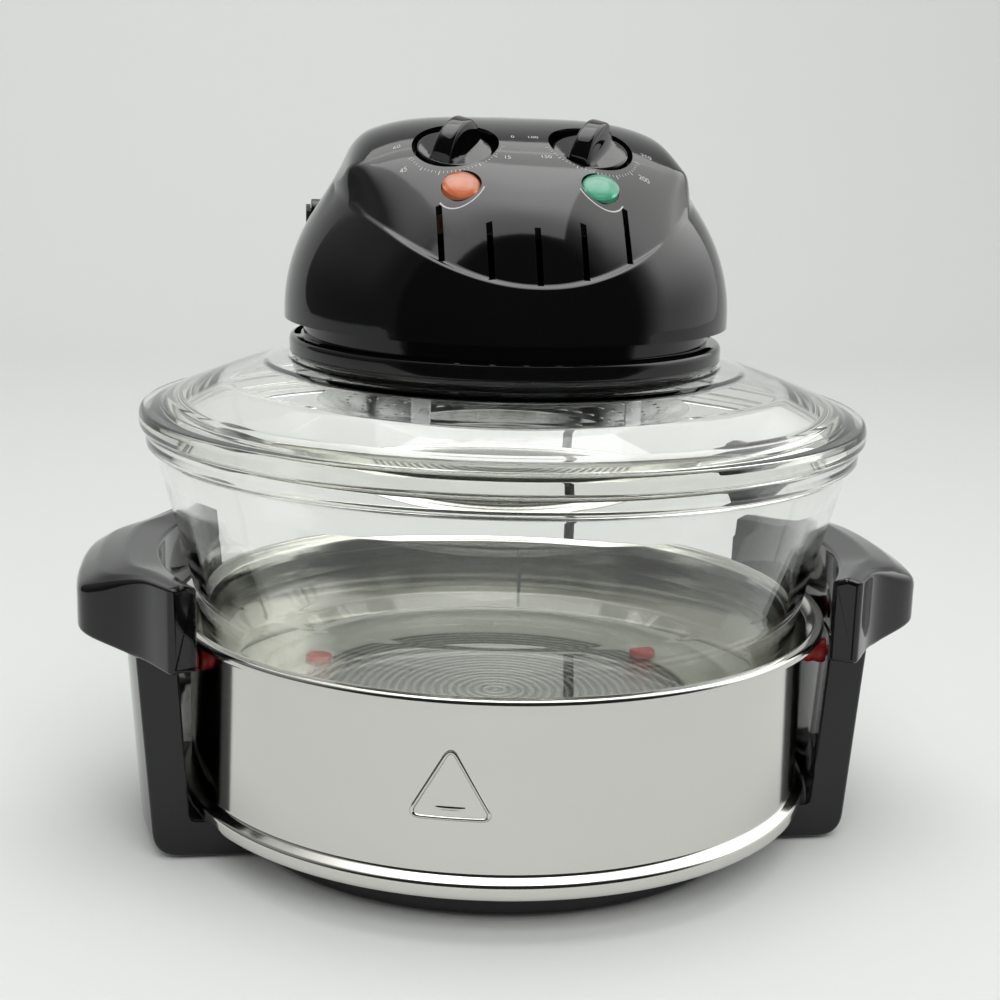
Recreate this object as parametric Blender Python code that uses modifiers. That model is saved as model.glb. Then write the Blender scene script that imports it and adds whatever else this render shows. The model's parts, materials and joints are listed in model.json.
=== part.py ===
# Countertop convection oven: a glass bowl in a polished steel shell on a black cradle,
# with a lift-off glass lid that carries the motor head. Metres, +Z up, front towards -Y,
# origin on the table under the middle of the bowl.

import math

import bmesh
import bpy
import numpy as np
from mathutils import Matrix, Vector

# Fits and round counts

GAP = 0.0003
OVERRUN = 0.002
MERGE = 0.00001
BIG_SIDES = 32
POST_SIDES = 48
MIDDLE_SIDES = 16
SMALL_SIDES = 10
SCREW_SIDES = 6

# Steel shell and floor plate

BOWL_RIM_RADIUS = 0.1670
STEEL = 0.0010
SHELL_INSET = 0.0190
SHELL_RADIUS = BOWL_RIM_RADIUS - SHELL_INSET
SHELL_RIM_REACH = 0.0080
SHELL_RIM_RADIUS = SHELL_RADIUS + SHELL_RIM_REACH
SHELL_RIM_TOP = 0.1100
SHELL_BEAD_REACH = 0.0044
SHELL_BEAD_RADIUS = SHELL_RADIUS + SHELL_BEAD_REACH
SHELL_BEAD_HEIGHT = 0.0100
SHELL_LIP_WIDTH = 0.0440
SHELL_LIP_INNER = SHELL_RADIUS - SHELL_LIP_WIDTH
PLATE_TOP = 0.0600
PLATE_CORNER = 0.0050

# Cradle

FOOT_DROP = 0.0020
BASE_TOP = 0.0200
BASE_ROOF = 0.0030
DISC_INSET = 0.0330
DISC_RADIUS = SHELL_RADIUS - DISC_INSET
DISC_WALL = 0.0040
DISC_EDGE = 0.0025
BAR_HALF_WIDTH = 0.0520
BAR_WALL = 0.0040
BAR_HOLLOW_INSET = 0.0020
BAR_HOLLOW_REACH = SHELL_RADIUS - BAR_HOLLOW_INSET
POST_CLEARANCE = 0.0125
POST_INNER_TOP = SHELL_RADIUS + POST_CLEARANCE
POST_INNER_SLOPE = 0.0045
POST_INNER_FOOT = POST_INNER_TOP - POST_INNER_SLOPE
POST_DEPTH = 0.0175
POST_OUTER_TOP = POST_INNER_TOP + POST_DEPTH
POST_OUTER_SLOPE = 0.0065
POST_OUTER_FOOT = POST_OUTER_TOP - POST_OUTER_SLOPE
POST_CORNER = 0.0120
POST_TOP = 0.0995
TONGUE_RISE = 0.0170
TONGUE_STEP = 0.0045
TONGUE_INNER = POST_INNER_TOP + TONGUE_STEP
TONGUE_THICKNESS = 0.0080
TONGUE_OUTER = TONGUE_INNER + TONGUE_THICKNESS
TONGUE_HALF_WIDTH = 0.0380

COVER_THICKNESS = 0.0030
BOSS_INSET = 0.0200
BOSS_X = SHELL_RADIUS - BOSS_INSET
BOSS_Y = 0.0340
BOSS_RADIUS = 0.0050
FOOT_RADIUS = 0.0090
FOOT_SINK = 0.0015
SCREW_RADIUS = 0.0016
SCREW_HEAD_RADIUS = 0.0034

# Silicone pieces

PAD_RADIUS = 0.0068
PAD_INSET = 0.0060
PAD_TURNS = (30, 150, 270)
PAD_STEM_RADIUS = 0.0028
PAD_BARB_RADIUS = 0.0042
PAD_BARB_DROP = 0.0022
SPACER_RADIUS = 0.0062
SPACER_HEIGHT = 0.0925
SPACER_TURN = 14
SPACER_PEG_RADIUS = 0.0026
SPACER_PEG_DEPTH = 0.0060

# Side grips

GRIP_STEP = 0.0010
GRIP_INNER = POST_INNER_TOP + GRIP_STEP
GRIP_DEPTH = 0.0375
GRIP_REACH = GRIP_INNER + GRIP_DEPTH
GRIP_HALF_ANGLE = 29
GRIP_BULGE = 0.0040
GRIP_TOP_OUTER = 0.1280
GRIP_TOP_HIGH = 0.1395
GRIP_TOP_INNER = 0.1370
GRIP_UNDER_RISE = 0.0085
GRIP_EDGE = 0.0012

# Glass bowl

BOWL_GLASS = 0.0050
BOWL_BOTTOM = 0.0640
BOWL_CORNER = 0.0380
BOWL_SHOULDER_INSET = 0.0070
BOWL_WAIST_INSET = 0.0190
BOWL_FLAT_INSET = 0.0620
BOWL_SHOULDER_RADIUS = BOWL_RIM_RADIUS - BOWL_SHOULDER_INSET
BOWL_WAIST_RADIUS = BOWL_RIM_RADIUS - BOWL_WAIST_INSET
BOWL_FLAT_RADIUS = BOWL_RIM_RADIUS - BOWL_FLAT_INSET
BOWL_WAIST_RISE = 0.0650
BOWL_SHOULDER_RISE = 0.0455
BOWL_COLLAR_RISE = 0.0143
BOWL_RIM_DEPTH = 0.0077
BOWL_WAIST_HEIGHT = BOWL_BOTTOM + BOWL_WAIST_RISE
BOWL_SHOULDER_HEIGHT = BOWL_WAIST_HEIGHT + BOWL_SHOULDER_RISE
BOWL_RIM_LOW = BOWL_SHOULDER_HEIGHT + BOWL_COLLAR_RISE
BOWL_RIM_TOP = BOWL_RIM_LOW + BOWL_RIM_DEPTH

# Glass lid

LID_OVERHANG = 0.0030
LID_RIM_HEIGHT = 0.0090
LID_RIM_WIDTH = 0.0095
LID_SLOPE_INSET = 0.0035
LID_GLASS = 0.0050
LID_RIM_RADIUS = BOWL_RIM_RADIUS + LID_OVERHANG
LID_STEP_RADIUS = LID_RIM_RADIUS - LID_RIM_WIDTH
LID_SLOPE_RADIUS = LID_STEP_RADIUS - LID_SLOPE_INSET
LID_NECK_RADIUS = 0.1010
LID_SLOPE_START = 0.0130
LID_SLOPE_RISE = 0.0187
LID_SLOPE_LOW = BOWL_RIM_TOP + LID_SLOPE_START
LID_NECK_TOP = LID_SLOPE_LOW + LID_SLOPE_RISE
LID_RIDGE_DROP = 0.0035
LID_RIDGE_INSET = 0.0110
LID_RIDGE_WIDTH = 0.0050
LID_RIDGE_OUTER = BOWL_RIM_RADIUS - LID_RIDGE_INSET
LID_RIDGE_INNER = LID_RIDGE_OUTER - LID_RIDGE_WIDTH

# Head flange

FLANGE_RADIUS = 0.1010
FLANGE_HEIGHT = 0.0100
NECK_RADIUS = 0.0945
NECK_TOP_RISE = 0.0238
NECK_TOP = LID_NECK_TOP + NECK_TOP_RISE
NECK_WALL = 0.0030
SPIGOT_RADIUS = 0.0840
SPIGOT_WALL = 0.0025
WEB_TOP_RISE = 0.0188
WEB_TOP = LID_NECK_TOP + WEB_TOP_RISE
WEB_THICKNESS = 0.0030
WEB_HOLE = 0.0060
AIR_SLOT_WIDTH = 0.0030
AIR_SLOT_DEPTH = 0.0060
AIR_SLOT_HALF_ANGLE = 66
GASKET_THICKNESS = 0.0020

# Reflector, heater and guard

REFLECTOR_SHEET = 0.0008
REFLECTOR_FLANGE = 0.0920
REFLECTOR_ROOF = LID_NECK_TOP
REFLECTOR_HOLE = 0.0042
REFLECTOR_BOSS_RING = 0.0740
REFLECTOR_BOSS_TURNS = (45, 135, 225, 315)
REFLECTOR_BOSS_RADIUS = 0.0045
HEATER_RING = 0.0650
HEATER_HEIGHT_DROP = 0.0104
HEATER_HEIGHT = LID_NECK_TOP - HEATER_HEIGHT_DROP
HEATER_TUBE_RADIUS = 0.0062
HEATER_TUBE_WALL = 0.0009
HEATER_HALF_GAP = 14
COIL_RADIUS = 0.0037
COIL_WIRE = 0.0006
COIL_CURLS = 36
COIL_POINTS = 8
HOLDER_LENGTH = 0.0150
HOLDER_WIDTH = 0.0180
HOLDER_SEAT = 0.0080
HOLDER_BORE_EASE = 0.0009
GUARD_RIM_RADIUS = 0.0880
GUARD_RIM_WIDTH = 0.0095
GUARD_TOP_DROP = 0.0227
GUARD_TOP = LID_NECK_TOP - GUARD_TOP_DROP
GUARD_BOTTOM_DROP = 0.0372
GUARD_BOTTOM = LID_NECK_TOP - GUARD_BOTTOM_DROP
GUARD_DISH_RADIUS = 0.0480
LOUVRE_WIDTH = 0.0026
LOUVRE_BULGE = 0.0030
LOUVRE_ROWS = ((0.0680, 10, 0.0110), (0.0560, 8, 0.0100), (0.0340, 5, 0.0100))
BRACKET_WIDTH = 0.0090
BRACKET_SHEET = 0.0014
BRACKET_FOOT = 0.0060
BRACKET_TURNS = (58, 122, 238, 302)

# Fan, shaft and motor

SHAFT_RADIUS = 0.0030
SHAFT_BOTTOM_DROP = 0.0227
SHAFT_BOTTOM = LID_NECK_TOP - SHAFT_BOTTOM_DROP
SHAFT_TOP_RISE = 0.0578
SHAFT_TOP = LID_NECK_TOP + SHAFT_TOP_RISE
HOT_FAN_RADIUS = 0.0520
HOT_FAN_TOP_DROP = 0.0042
HOT_FAN_TOP = LID_NECK_TOP - HOT_FAN_TOP_DROP
HOT_FAN_HEIGHT = 0.0105
COOL_FAN_RADIUS = 0.0310
COOL_FAN_TOP_RISE = 0.0303
COOL_FAN_TOP = LID_NECK_TOP + COOL_FAN_TOP_RISE
COOL_FAN_HEIGHT = 0.0090
FAN_SHEET = 0.0012
HUB_RADIUS = 0.0080
HUB_HEIGHT = 0.0120
HOT_BLADES = 8
COOL_BLADES = 6
FAN_NUT_RADIUS = 0.0055
FAN_NUT_HEIGHT = 0.0040
MOTOR_BOTTOM_RISE = 0.0338
MOTOR_BOTTOM = LID_NECK_TOP + MOTOR_BOTTOM_RISE
MOTOR_HALF = 0.0310
MOTOR_STACK = 0.0180
MOTOR_BELL_RADIUS = 0.0200
MOTOR_BELL_HEIGHT = 0.0100
MOTOR_POST_OFFSET = 0.0265
MOTOR_POST_RADIUS = 0.0035
WINDING_WIDTH = 0.0300
WINDING_DEPTH = 0.0120
WINDING_HEIGHT = 0.0240

# Dome and console of the top cover

COVER_WALL = 0.0026
DOME_RADIUS = 0.1033
DOME_RISE = 0.0900
DOME_FOOT_RISE = 0.0218
DOME_FOOT = LID_NECK_TOP + DOME_FOOT_RISE
DOME_EDGE_RISE = 0.0180
DOME_EDGE = LID_NECK_TOP + DOME_EDGE_RISE
CONSOLE_HALF = 0.0780
CONSOLE_ROUND = 0.0080
CONSOLE_TOP_RISE = 0.1098
CONSOLE_TOP = LID_NECK_TOP + CONSOLE_TOP_RISE
CONSOLE_TOP_Y = 0.0020
CONSOLE_SAG = 0.0140
CONSOLE_DRAFT_SHARE = 0.24
CONSOLE_REAR_STEP = 0.0016
CONSOLE_REAR_WIDTH = 0.0160
CONSOLE_REAR_REACH = 0.0500
COLUMN_INSET = 0.0020
COLUMN_BACK = 0.0220
CONSOLE_BACK = 0.0660
CREASE_HEIGHT_RISE = 0.0643
CREASE_HEIGHT = LID_NECK_TOP + CREASE_HEIGHT_RISE
CREASE_Y = -0.0905
CREASE_LIFT = 0.0280
CREASE_SWEEP = 0.0605
SMILE_HEIGHT_RISE = 0.0423
SMILE_HEIGHT = LID_NECK_TOP + SMILE_HEIGHT_RISE
SMILE_LIFT = 0.0320
SMILE_SINK = 0.0012
SLOT_WIDTH = 0.0027
SLOT_PITCH = 0.0200
SLOT_COUNT = 5
COVER_BOSS_RADIUS = 0.0045
COVER_BOSS_X = 0.0600
COVER_BOSS_Y = 0.0460

# Controls

KNOB_X = 0.0300
KNOB_Y = -0.0398
KNOB_TILT = 25
KNOB_RADIUS = 0.0170
KNOB_DISC = 0.0060
KNOB_SINK = 0.0025
KNOB_GRIP_RISE = 0.0105
KNOB_GRIP_WIDTH = 0.0080
KNOB_GRIP_HALF = 0.0155
KNOB_TURN = -20
POCKET_RADIUS = 0.0190
POCKET_DEPTH = 0.0095
POCKET_WALL = 0.0024
CONTROL_SHAFT_RADIUS = 0.0030
CONTROL_SHAFT_DEPTH = 0.0180
CONTROL_UNIT_SIZE = 0.0340
CONTROL_UNIT_HEIGHT = 0.0240
LENS_Y = -0.0652
LENS_TILT = 38.5
LENS_RADIUS = 0.0082
LENS_BARREL = 0.0060
LENS_CROWN = 0.0016
LENS_WALL = 0.0024
LAMP_RADIUS = 0.0035
LAMP_LENGTH = 0.0140

# Folding handle

HINGE_Y = 0.0500
HINGE_Z_RISE = 0.0618
HINGE_Z = LID_NECK_TOP + HINGE_Z_RISE
BAIL_DROP = 23.7
BAIL_HALF_WIDTH = 0.0875
BAIL_REACH = 0.0660
BAIL_THICKNESS = 0.0040
BAIL_WIDTH = 0.0130
BAIL_EYE_RADIUS = 0.0070
BAIL_EYE_BOSS = 0.0013
PIVOT_RADIUS = 0.0025
PIVOT_HEAD_RADIUS = 0.0045
PIVOT_HEAD = 0.0020
PIVOT_DEPTH = 0.0070
SWITCH_WIDTH = 0.0070
SWITCH_HEIGHT = 0.0200
SWITCH_DEPTH = 0.0128

# Cord, hank and plug

CORD_RADIUS = 0.0030
CORD_TURN = 68.5
CORD_EXIT_HEIGHT_RISE = 0.0054
CORD_EXIT_HEIGHT = LID_NECK_TOP + CORD_EXIT_HEIGHT_RISE
RELIEF_LENGTH = 0.0260
RELIEF_ROOT_RADIUS = 0.0046
RELIEF_TIP_RADIUS = 0.0038
RELIEF_SEAT = 0.0040
CORD_STRAIGHT = 0.0410
CORD_BEND = 0.0380
CORD_LAND_BEND = 0.0260
HANK_X = -0.0020
HANK_FLOOR = 0.0046
HANK_RUN = 0.0320
HANK_FOLD = 0.0190
HANK_WAIST = 0.0110
HANK_PITCH = 0.0067
HANK_LAYERS = 4
HANK_LOOP_POINTS = 24
HANK_LEAD_TURN = 0.12
TIE_EASE = 0.0006
TIE_SHEET = 0.0008
TIE_WIDTH = 0.0050
PLUG_RADIUS = 0.0095
PLUG_NECK_RADIUS = 0.0050
PLUG_LENGTH = 0.0340
PIN_RADIUS = 0.0020
PIN_LENGTH = 0.0180
PIN_SEAT = 0.0060
PIN_OFFSET = 0.0050
TAIL_LENGTH = 0.0300

MATERIALS = {
    "black_gloss": ((0.012, 0.012, 0.013), 0.12, 0.0),
    "black_satin": ((0.020, 0.020, 0.021), 0.45, 0.0),
    "steel": ((0.72, 0.71, 0.69), 0.16, 1.0),
    "bright_metal": ((0.80, 0.80, 0.80), 0.25, 1.0),
    "dark_metal": ((0.22, 0.22, 0.23), 0.45, 1.0),
    "copper": ((0.72, 0.35, 0.17), 0.35, 1.0),
    "glass": ((0.86, 0.90, 0.84), 0.03, 0.0),
    "quartz": ((0.90, 0.92, 0.92), 0.05, 0.0),
    "silicone": ((0.42, 0.012, 0.012), 0.42, 0.0),
    "rubber": ((0.02, 0.02, 0.02), 0.75, 0.0),
    "ceramic": ((0.84, 0.82, 0.76), 0.60, 0.0),
    "amber": ((0.86, 0.30, 0.14), 0.12, 0.0),
    "green": ((0.12, 0.55, 0.36), 0.12, 0.0),
    "pale_plastic": ((0.75, 0.74, 0.70), 0.50, 0.0),
}


def clear_scene():
    for thing in list(bpy.data.objects):
        bpy.data.objects.remove(thing, do_unlink=True)


def collection(name):
    shelf = bpy.data.collections.new(name)
    bpy.context.scene.collection.children.link(shelf)
    return shelf


clear_scene()
PARTS = collection("convection_oven")
TOOLS = collection("cutters")


def finish_of(name):
    look = bpy.data.materials.get(name)
    if look is None:
        colour, roughness, metallic = MATERIALS[name]
        look = bpy.data.materials.new(name)
        look.use_nodes = True
        shader = look.node_tree.nodes["Principled BSDF"]
        shader.inputs["Base Color"].default_value = (*colour, 1)
        shader.inputs["Roughness"].default_value = roughness
        shader.inputs["Metallic"].default_value = metallic
        if name in ("glass", "quartz"):
            shader.inputs["Transmission Weight"].default_value = 1
    return look


def add(name, mesh, finish=None):
    """Puts a mesh in the scene: with a finish it is a part, without one it is a cutter."""
    thing = bpy.data.objects.new(name, mesh)
    if finish is None:
        TOOLS.objects.link(thing)
        thing.hide_render = True
        thing.display_type = "WIRE"
    else:
        PARTS.objects.link(thing)
        mesh.materials.append(finish_of(finish))
    return thing


def from_bmesh(name, shape, finish=None):
    mesh = bpy.data.meshes.new(name)
    bmesh.ops.recalc_face_normals(shape, faces=shape.faces)
    shape.to_mesh(mesh)
    shape.free()
    return add(name, mesh, finish)


def shade(thing, angle=35):
    thing.data.shade_smooth()
    thing.data.set_sharp_from_angle(angle=math.radians(angle))
    return thing


def boxes(name, corners, finish=None):
    """Upright boxes, each between its lower and upper corner, as one object."""
    shape = bmesh.new()
    for low, high in corners:
        made = bmesh.ops.create_cube(shape, size=1)
        low, high = Vector(low), Vector(high)
        size = Matrix.Diagonal((*(high - low), 1))
        bmesh.ops.transform(shape, matrix=Matrix.Translation((low + high) / 2) @ size, verts=made["verts"])
    return from_bmesh(name, shape, finish)


def box(name, low, high, finish=None):
    return boxes(name, [(low, high)], finish)


def rods(name, radius, spans, sides, finish=None):
    """Round rods of one radius, each between two points, as one object."""
    shape = bmesh.new()
    for start, end in spans:
        start, end = Vector(start), Vector(end)
        along = end - start
        made = bmesh.ops.create_cone(
            shape, cap_ends=True, segments=sides, radius1=radius, radius2=radius, depth=along.length
        )
        turn = along.to_track_quat("Z", "Y").to_matrix().to_4x4()
        place = Matrix.Translation((start + end) / 2) @ turn
        bmesh.ops.transform(shape, matrix=place, verts=made["verts"])
    return shade(from_bmesh(name, shape, finish))


def turned(name, profile, sides, finish=None):
    """A turned body. The profile's (radius, height) points run down its outer side."""
    mesh = bpy.data.meshes.new(name)
    points = [(radius, 0, height) for radius, height in profile]
    edges = [(i, i + 1) for i in range(len(points) - 1)]
    if profile[0][0] > 0 or profile[-1][0] > 0:
        edges.append((len(points) - 1, 0))
    mesh.from_pydata(points, edges, [])
    thing = add(name, mesh, finish)
    spin = thing.modifiers.new("turn", "SCREW")
    spin.angle = math.tau
    spin.steps = sides
    spin.render_steps = sides
    spin.use_merge_vertices = True
    spin.merge_threshold = MERGE
    spin.use_smooth_shade = True
    return thing


def sheet_profile(path, thickness):
    """Closes a line into a sheet's outline by moving it to its inner side."""
    line = [Vector(point) for point in path]
    inner = []
    for i, point in enumerate(line):
        before = (point - line[i - 1]).normalized() if i > 0 else None
        after = (line[i + 1] - point).normalized() if i + 1 < len(line) else None
        before = before if before is not None else after
        after = after if after is not None else before
        side = Vector((before.y + after.y, -before.x - after.x)).normalized()
        mitre = side.dot(Vector((before.y, -before.x)))
        inner.append(point + side * (thickness / mitre))
    return [tuple(point) for point in line] + [tuple(point) for point in reversed(inner)]


def arc(centre, radius, start, end, count):
    """Points of an arc in degrees, both ends included."""
    turns = np.radians(np.linspace(start, end, count))
    return [(centre[0] + radius * math.cos(t), centre[1] + radius * math.sin(t)) for t in turns]


def plate(name, outline, thickness, finish=None):
    """A flat outline with its lower face at zero height, made from a filled curve."""
    curve = bpy.data.curves.new(name, "CURVE")
    curve.dimensions = "2D"
    curve.fill_mode = "BOTH"
    curve.extrude = thickness / 2
    line = curve.splines.new("POLY")
    line.points.add(len(outline) - 1)
    for point, (across, along) in zip(line.points, outline):
        point.co = (across, along, 0, 1)
    line.use_cyclic_u = True
    return meshed(name, curve, Matrix.Translation((0, 0, thickness / 2)), finish)


def meshed(name, curve, place, finish=None):
    """Turns a curve into a closed mesh at its place and drops the curve."""
    drawn = bpy.data.objects.new(name + "_curve", curve)
    TOOLS.objects.link(drawn)
    bpy.context.view_layer.update()
    ready = drawn.evaluated_get(bpy.context.evaluated_depsgraph_get())
    mesh = bpy.data.meshes.new_from_object(ready)
    shape = bmesh.new()
    shape.from_mesh(mesh)
    bmesh.ops.remove_doubles(shape, verts=shape.verts, dist=MERGE)
    bmesh.ops.transform(shape, matrix=place, verts=shape.verts)
    bpy.data.meshes.remove(mesh)
    bpy.data.objects.remove(drawn)
    return from_bmesh(name, shape, finish)


def tube(name, points, radius, roundness, finish):
    """A wire or cord: one unbroken round tube through the points, with flat ends."""
    curve = bpy.data.curves.new(name, "CURVE")
    curve.dimensions = "3D"
    curve.bevel_depth = radius
    curve.bevel_resolution = roundness
    curve.use_fill_caps = True
    line = curve.splines.new("POLY")
    line.points.add(len(points) - 1)
    for point, place in zip(line.points, points):
        point.co = (*place, 1)
    line.use_smooth = True
    thing = bpy.data.objects.new(name, curve)
    PARTS.objects.link(thing)
    curve.materials.append(finish_of(finish))
    return thing


def combine(target, other, operation="DIFFERENCE"):
    step = target.modifiers.new(other.name, "BOOLEAN")
    step.operation = operation
    step.object = other
    step.solver = "EXACT"
    return target


def settle(thing):
    """Makes the result of a thing's modifiers its own mesh, so it can be turned by itself."""
    bpy.context.view_layer.update()
    ready = thing.evaluated_get(bpy.context.evaluated_depsgraph_get())
    mesh = bpy.data.meshes.new_from_object(ready)
    thing.modifiers.clear()
    thing.data = mesh
    return thing


def soften(thing, width, angle=40, rows=2):
    step = thing.modifiers.new("edges", "BEVEL")
    step.width = width
    step.segments = rows
    step.limit_method = "ANGLE"
    step.angle_limit = math.radians(angle)
    step.harden_normals = False
    return thing


def around(radius, turn, height):
    """The point at a radius, a turn in degrees from +X and a height."""
    angle = math.radians(turn)
    return Vector((radius * math.cos(angle), radius * math.sin(angle), height))


def turned_about(turn):
    return Matrix.Rotation(math.radians(turn), 4, "Z")


def least_gap(points, thickness, skip):
    """The smallest clear gap between stretches of a wound line that aren't neighbours."""
    line = np.array([tuple(p) for p in points])
    least = np.inf
    for i in range(len(line) - skip):
        away = np.linalg.norm(line[i + skip:] - line[i], axis=1)
        least = min(least, float(away.min()))
    return least - thickness


# Cradle

COVER_BOTTOM = FOOT_DROP
COVER_TOP = COVER_BOTTOM + COVER_THICKNESS
ROOF_UNDER = BASE_TOP - BASE_ROOF
CORNER_CENTRE = FOOT_DROP + POST_CORNER


def post_inner(height):
    share = (height - BASE_TOP) / (POST_TOP - BASE_TOP)
    return POST_INNER_FOOT + (POST_INNER_TOP - POST_INNER_FOOT) * share


def boss_places():
    return [(x, y) for x in (-BOSS_X, BOSS_X) for y in (-BOSS_Y, BOSS_Y)]


def make_cradle():
    reach = POST_OUTER_TOP + OVERRUN
    cradle = box(
        "cradle", (-reach, -BAR_HALF_WIDTH, -OVERRUN), (reach, BAR_HALF_WIDTH, POST_TOP + OVERRUN), "black_gloss"
    )
    corner = arc((POST_OUTER_FOOT - POST_CORNER, CORNER_CENTRE), POST_CORNER, 0, -90, 5)
    outer = [(0, POST_TOP), (POST_OUTER_TOP, POST_TOP), *corner, (0, FOOT_DROP)]
    combine(cradle, turned("cradle_outer", outer, POST_SIDES), "INTERSECT")
    inner = [
        (0, POST_TOP + OVERRUN),
        (post_inner(POST_TOP + OVERRUN), POST_TOP + OVERRUN),
        (POST_INNER_FOOT, BASE_TOP),
        (0, BASE_TOP),
    ]
    combine(cradle, turned("cradle_inner", inner, POST_SIDES))
    disc = [
        (0, BASE_TOP),
        (DISC_RADIUS - DISC_EDGE, BASE_TOP),
        (DISC_RADIUS, BASE_TOP - DISC_EDGE),
        (DISC_RADIUS, FOOT_DROP + DISC_EDGE),
        (DISC_RADIUS - DISC_EDGE, FOOT_DROP),
        (0, FOOT_DROP),
    ]
    combine(cradle, turned("cradle_disc", disc, BIG_SIDES), "UNION")
    tongue = turned(
        "tongues",
        [
            (TONGUE_OUTER, POST_TOP + TONGUE_RISE),
            (TONGUE_OUTER, POST_TOP - OVERRUN),
            (TONGUE_INNER, POST_TOP - OVERRUN),
            (TONGUE_INNER, POST_TOP + TONGUE_RISE),
        ],
        POST_SIDES,
    )
    limit = box(
        "tongue_limit",
        (-reach, -TONGUE_HALF_WIDTH, BASE_TOP),
        (reach, TONGUE_HALF_WIDTH, POST_TOP + TONGUE_RISE + OVERRUN),
    )
    combine(tongue, limit, "INTERSECT")
    combine(cradle, tongue, "UNION")
    hollow = box(
        "bar_hollow",
        (-BAR_HOLLOW_REACH, BAR_WALL - BAR_HALF_WIDTH, -OVERRUN),
        (BAR_HOLLOW_REACH, BAR_HALF_WIDTH - BAR_WALL, ROOF_UNDER),
    )
    combine(cradle, hollow)
    hollow_radius = DISC_RADIUS - DISC_WALL
    round_hollow = turned(
        "disc_hollow",
        [(0, ROOF_UNDER), (hollow_radius, ROOF_UNDER), (hollow_radius, -OVERRUN), (0, -OVERRUN)],
        BIG_SIDES,
    )
    combine(cradle, round_hollow)
    bosses = rods(
        "cradle_bosses",
        BOSS_RADIUS,
        [((x, y, COVER_TOP + GAP), (x, y, ROOF_UNDER + BASE_ROOF / 2)) for x, y in boss_places()],
        SMALL_SIDES,
    )
    combine(cradle, bosses, "UNION")
    holes = [((x, y, 0), (x, y, ROOF_UNDER)) for x, y in boss_places()]
    combine(cradle, rods("boss_holes", SCREW_RADIUS + GAP, holes, SCREW_SIDES))
    pegs = [
        (around(POST_INNER_FOOT, t, SPACER_HEIGHT), around(peg_end() + GAP, t, SPACER_HEIGHT))
        for t in spacer_turns()
    ]
    combine(cradle, rods("peg_holes", SPACER_PEG_RADIUS + GAP, pegs, SMALL_SIDES))
    return cradle


def make_base_cover():
    radius = DISC_RADIUS - DISC_WALL - GAP
    cover = turned(
        "base_cover",
        [(0, COVER_TOP), (radius, COVER_TOP), (radius, COVER_BOTTOM), (0, COVER_BOTTOM)],
        BIG_SIDES,
        "black_satin",
    )
    reach = BAR_HOLLOW_REACH - GAP
    half = BAR_HALF_WIDTH - BAR_WALL - GAP
    bar = box("cover_bar", (-reach, -half, COVER_BOTTOM), (reach, half, COVER_TOP))
    combine(cover, bar, "UNION")
    sinks = [((x, y, 0), (x, y, COVER_BOTTOM + FOOT_SINK)) for x, y in boss_places()]
    combine(cover, rods("foot_sinks", FOOT_RADIUS + GAP, sinks, MIDDLE_SIDES))
    holes = [((x, y, 0), (x, y, COVER_TOP + OVERRUN)) for x, y in boss_places()]
    combine(cover, rods("cover_holes", SCREW_RADIUS + GAP, holes, SCREW_SIDES))
    return cover


def make_feet():
    seat = COVER_BOTTOM + FOOT_SINK - GAP
    hole = SCREW_HEAD_RADIUS + GAP
    names = ("foot_left_front", "foot_left_rear", "foot_right_front", "foot_right_rear")
    for name, (x, y) in zip(names, boss_places()):
        foot = turned(
            name,
            [(FOOT_RADIUS, seat), (FOOT_RADIUS, 0), (hole, 0), (hole, seat)],
            MIDDLE_SIDES,
            "rubber",
        )
        foot.location = (x, y, 0)


# Steel shell, floor plate and the silicone pieces

LIP_UNDER = BASE_TOP + GAP


def make_shell():
    bead_top = LIP_UNDER + SHELL_BEAD_HEIGHT
    flare = SHELL_RIM_RADIUS - SHELL_RADIUS
    bead = SHELL_BEAD_RADIUS - SHELL_RADIUS
    path = [
        (SHELL_RIM_RADIUS, SHELL_RIM_TOP - 0.30 * flare),
        (SHELL_RIM_RADIUS - 0.15 * flare, SHELL_RIM_TOP - 0.06 * flare),
        (SHELL_RIM_RADIUS - 0.40 * flare, SHELL_RIM_TOP - 0.05 * flare),
        (SHELL_RADIUS + 0.22 * flare, SHELL_RIM_TOP - 0.38 * flare),
        (SHELL_RADIUS, SHELL_RIM_TOP - flare),
        (SHELL_RADIUS, bead_top),
        (SHELL_RADIUS + 0.70 * bead, bead_top - 0.35 * bead),
        (SHELL_BEAD_RADIUS, bead_top - bead),
        (SHELL_BEAD_RADIUS, LIP_UNDER + 0.60 * bead),
        (SHELL_BEAD_RADIUS - 0.50 * bead, LIP_UNDER),
        (SHELL_LIP_INNER, LIP_UNDER),
    ]
    return turned("steel_shell", sheet_profile(path, STEEL), BIG_SIDES, "steel")


def make_floor_plate():
    outer = SHELL_RADIUS - STEEL - GAP
    foot = LIP_UNDER + STEEL + GAP
    corner = arc((outer - PLATE_CORNER, PLATE_TOP - PLATE_CORNER), PLATE_CORNER, 90, 0, 3)
    path = [(PAD_STEM_RADIUS, PLATE_TOP), *corner, (outer, foot)]
    profile = sheet_profile(path, STEEL)
    plate_top, plate_under = profile[1:-1], (0, PLATE_TOP - STEEL)
    disc = turned("floor_plate", [(0, PLATE_TOP), *plate_top, plate_under], BIG_SIDES, "steel")
    holes = [
        (around(PAD_RING, t, PLATE_TOP - STEEL - OVERRUN), around(PAD_RING, t, PLATE_TOP + OVERRUN))
        for t in PAD_TURNS
    ]
    combine(disc, rods("pad_holes", PAD_STEM_RADIUS + GAP, holes, SMALL_SIDES))
    return disc


PAD_RING = BOWL_FLAT_RADIUS - PAD_INSET


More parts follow.
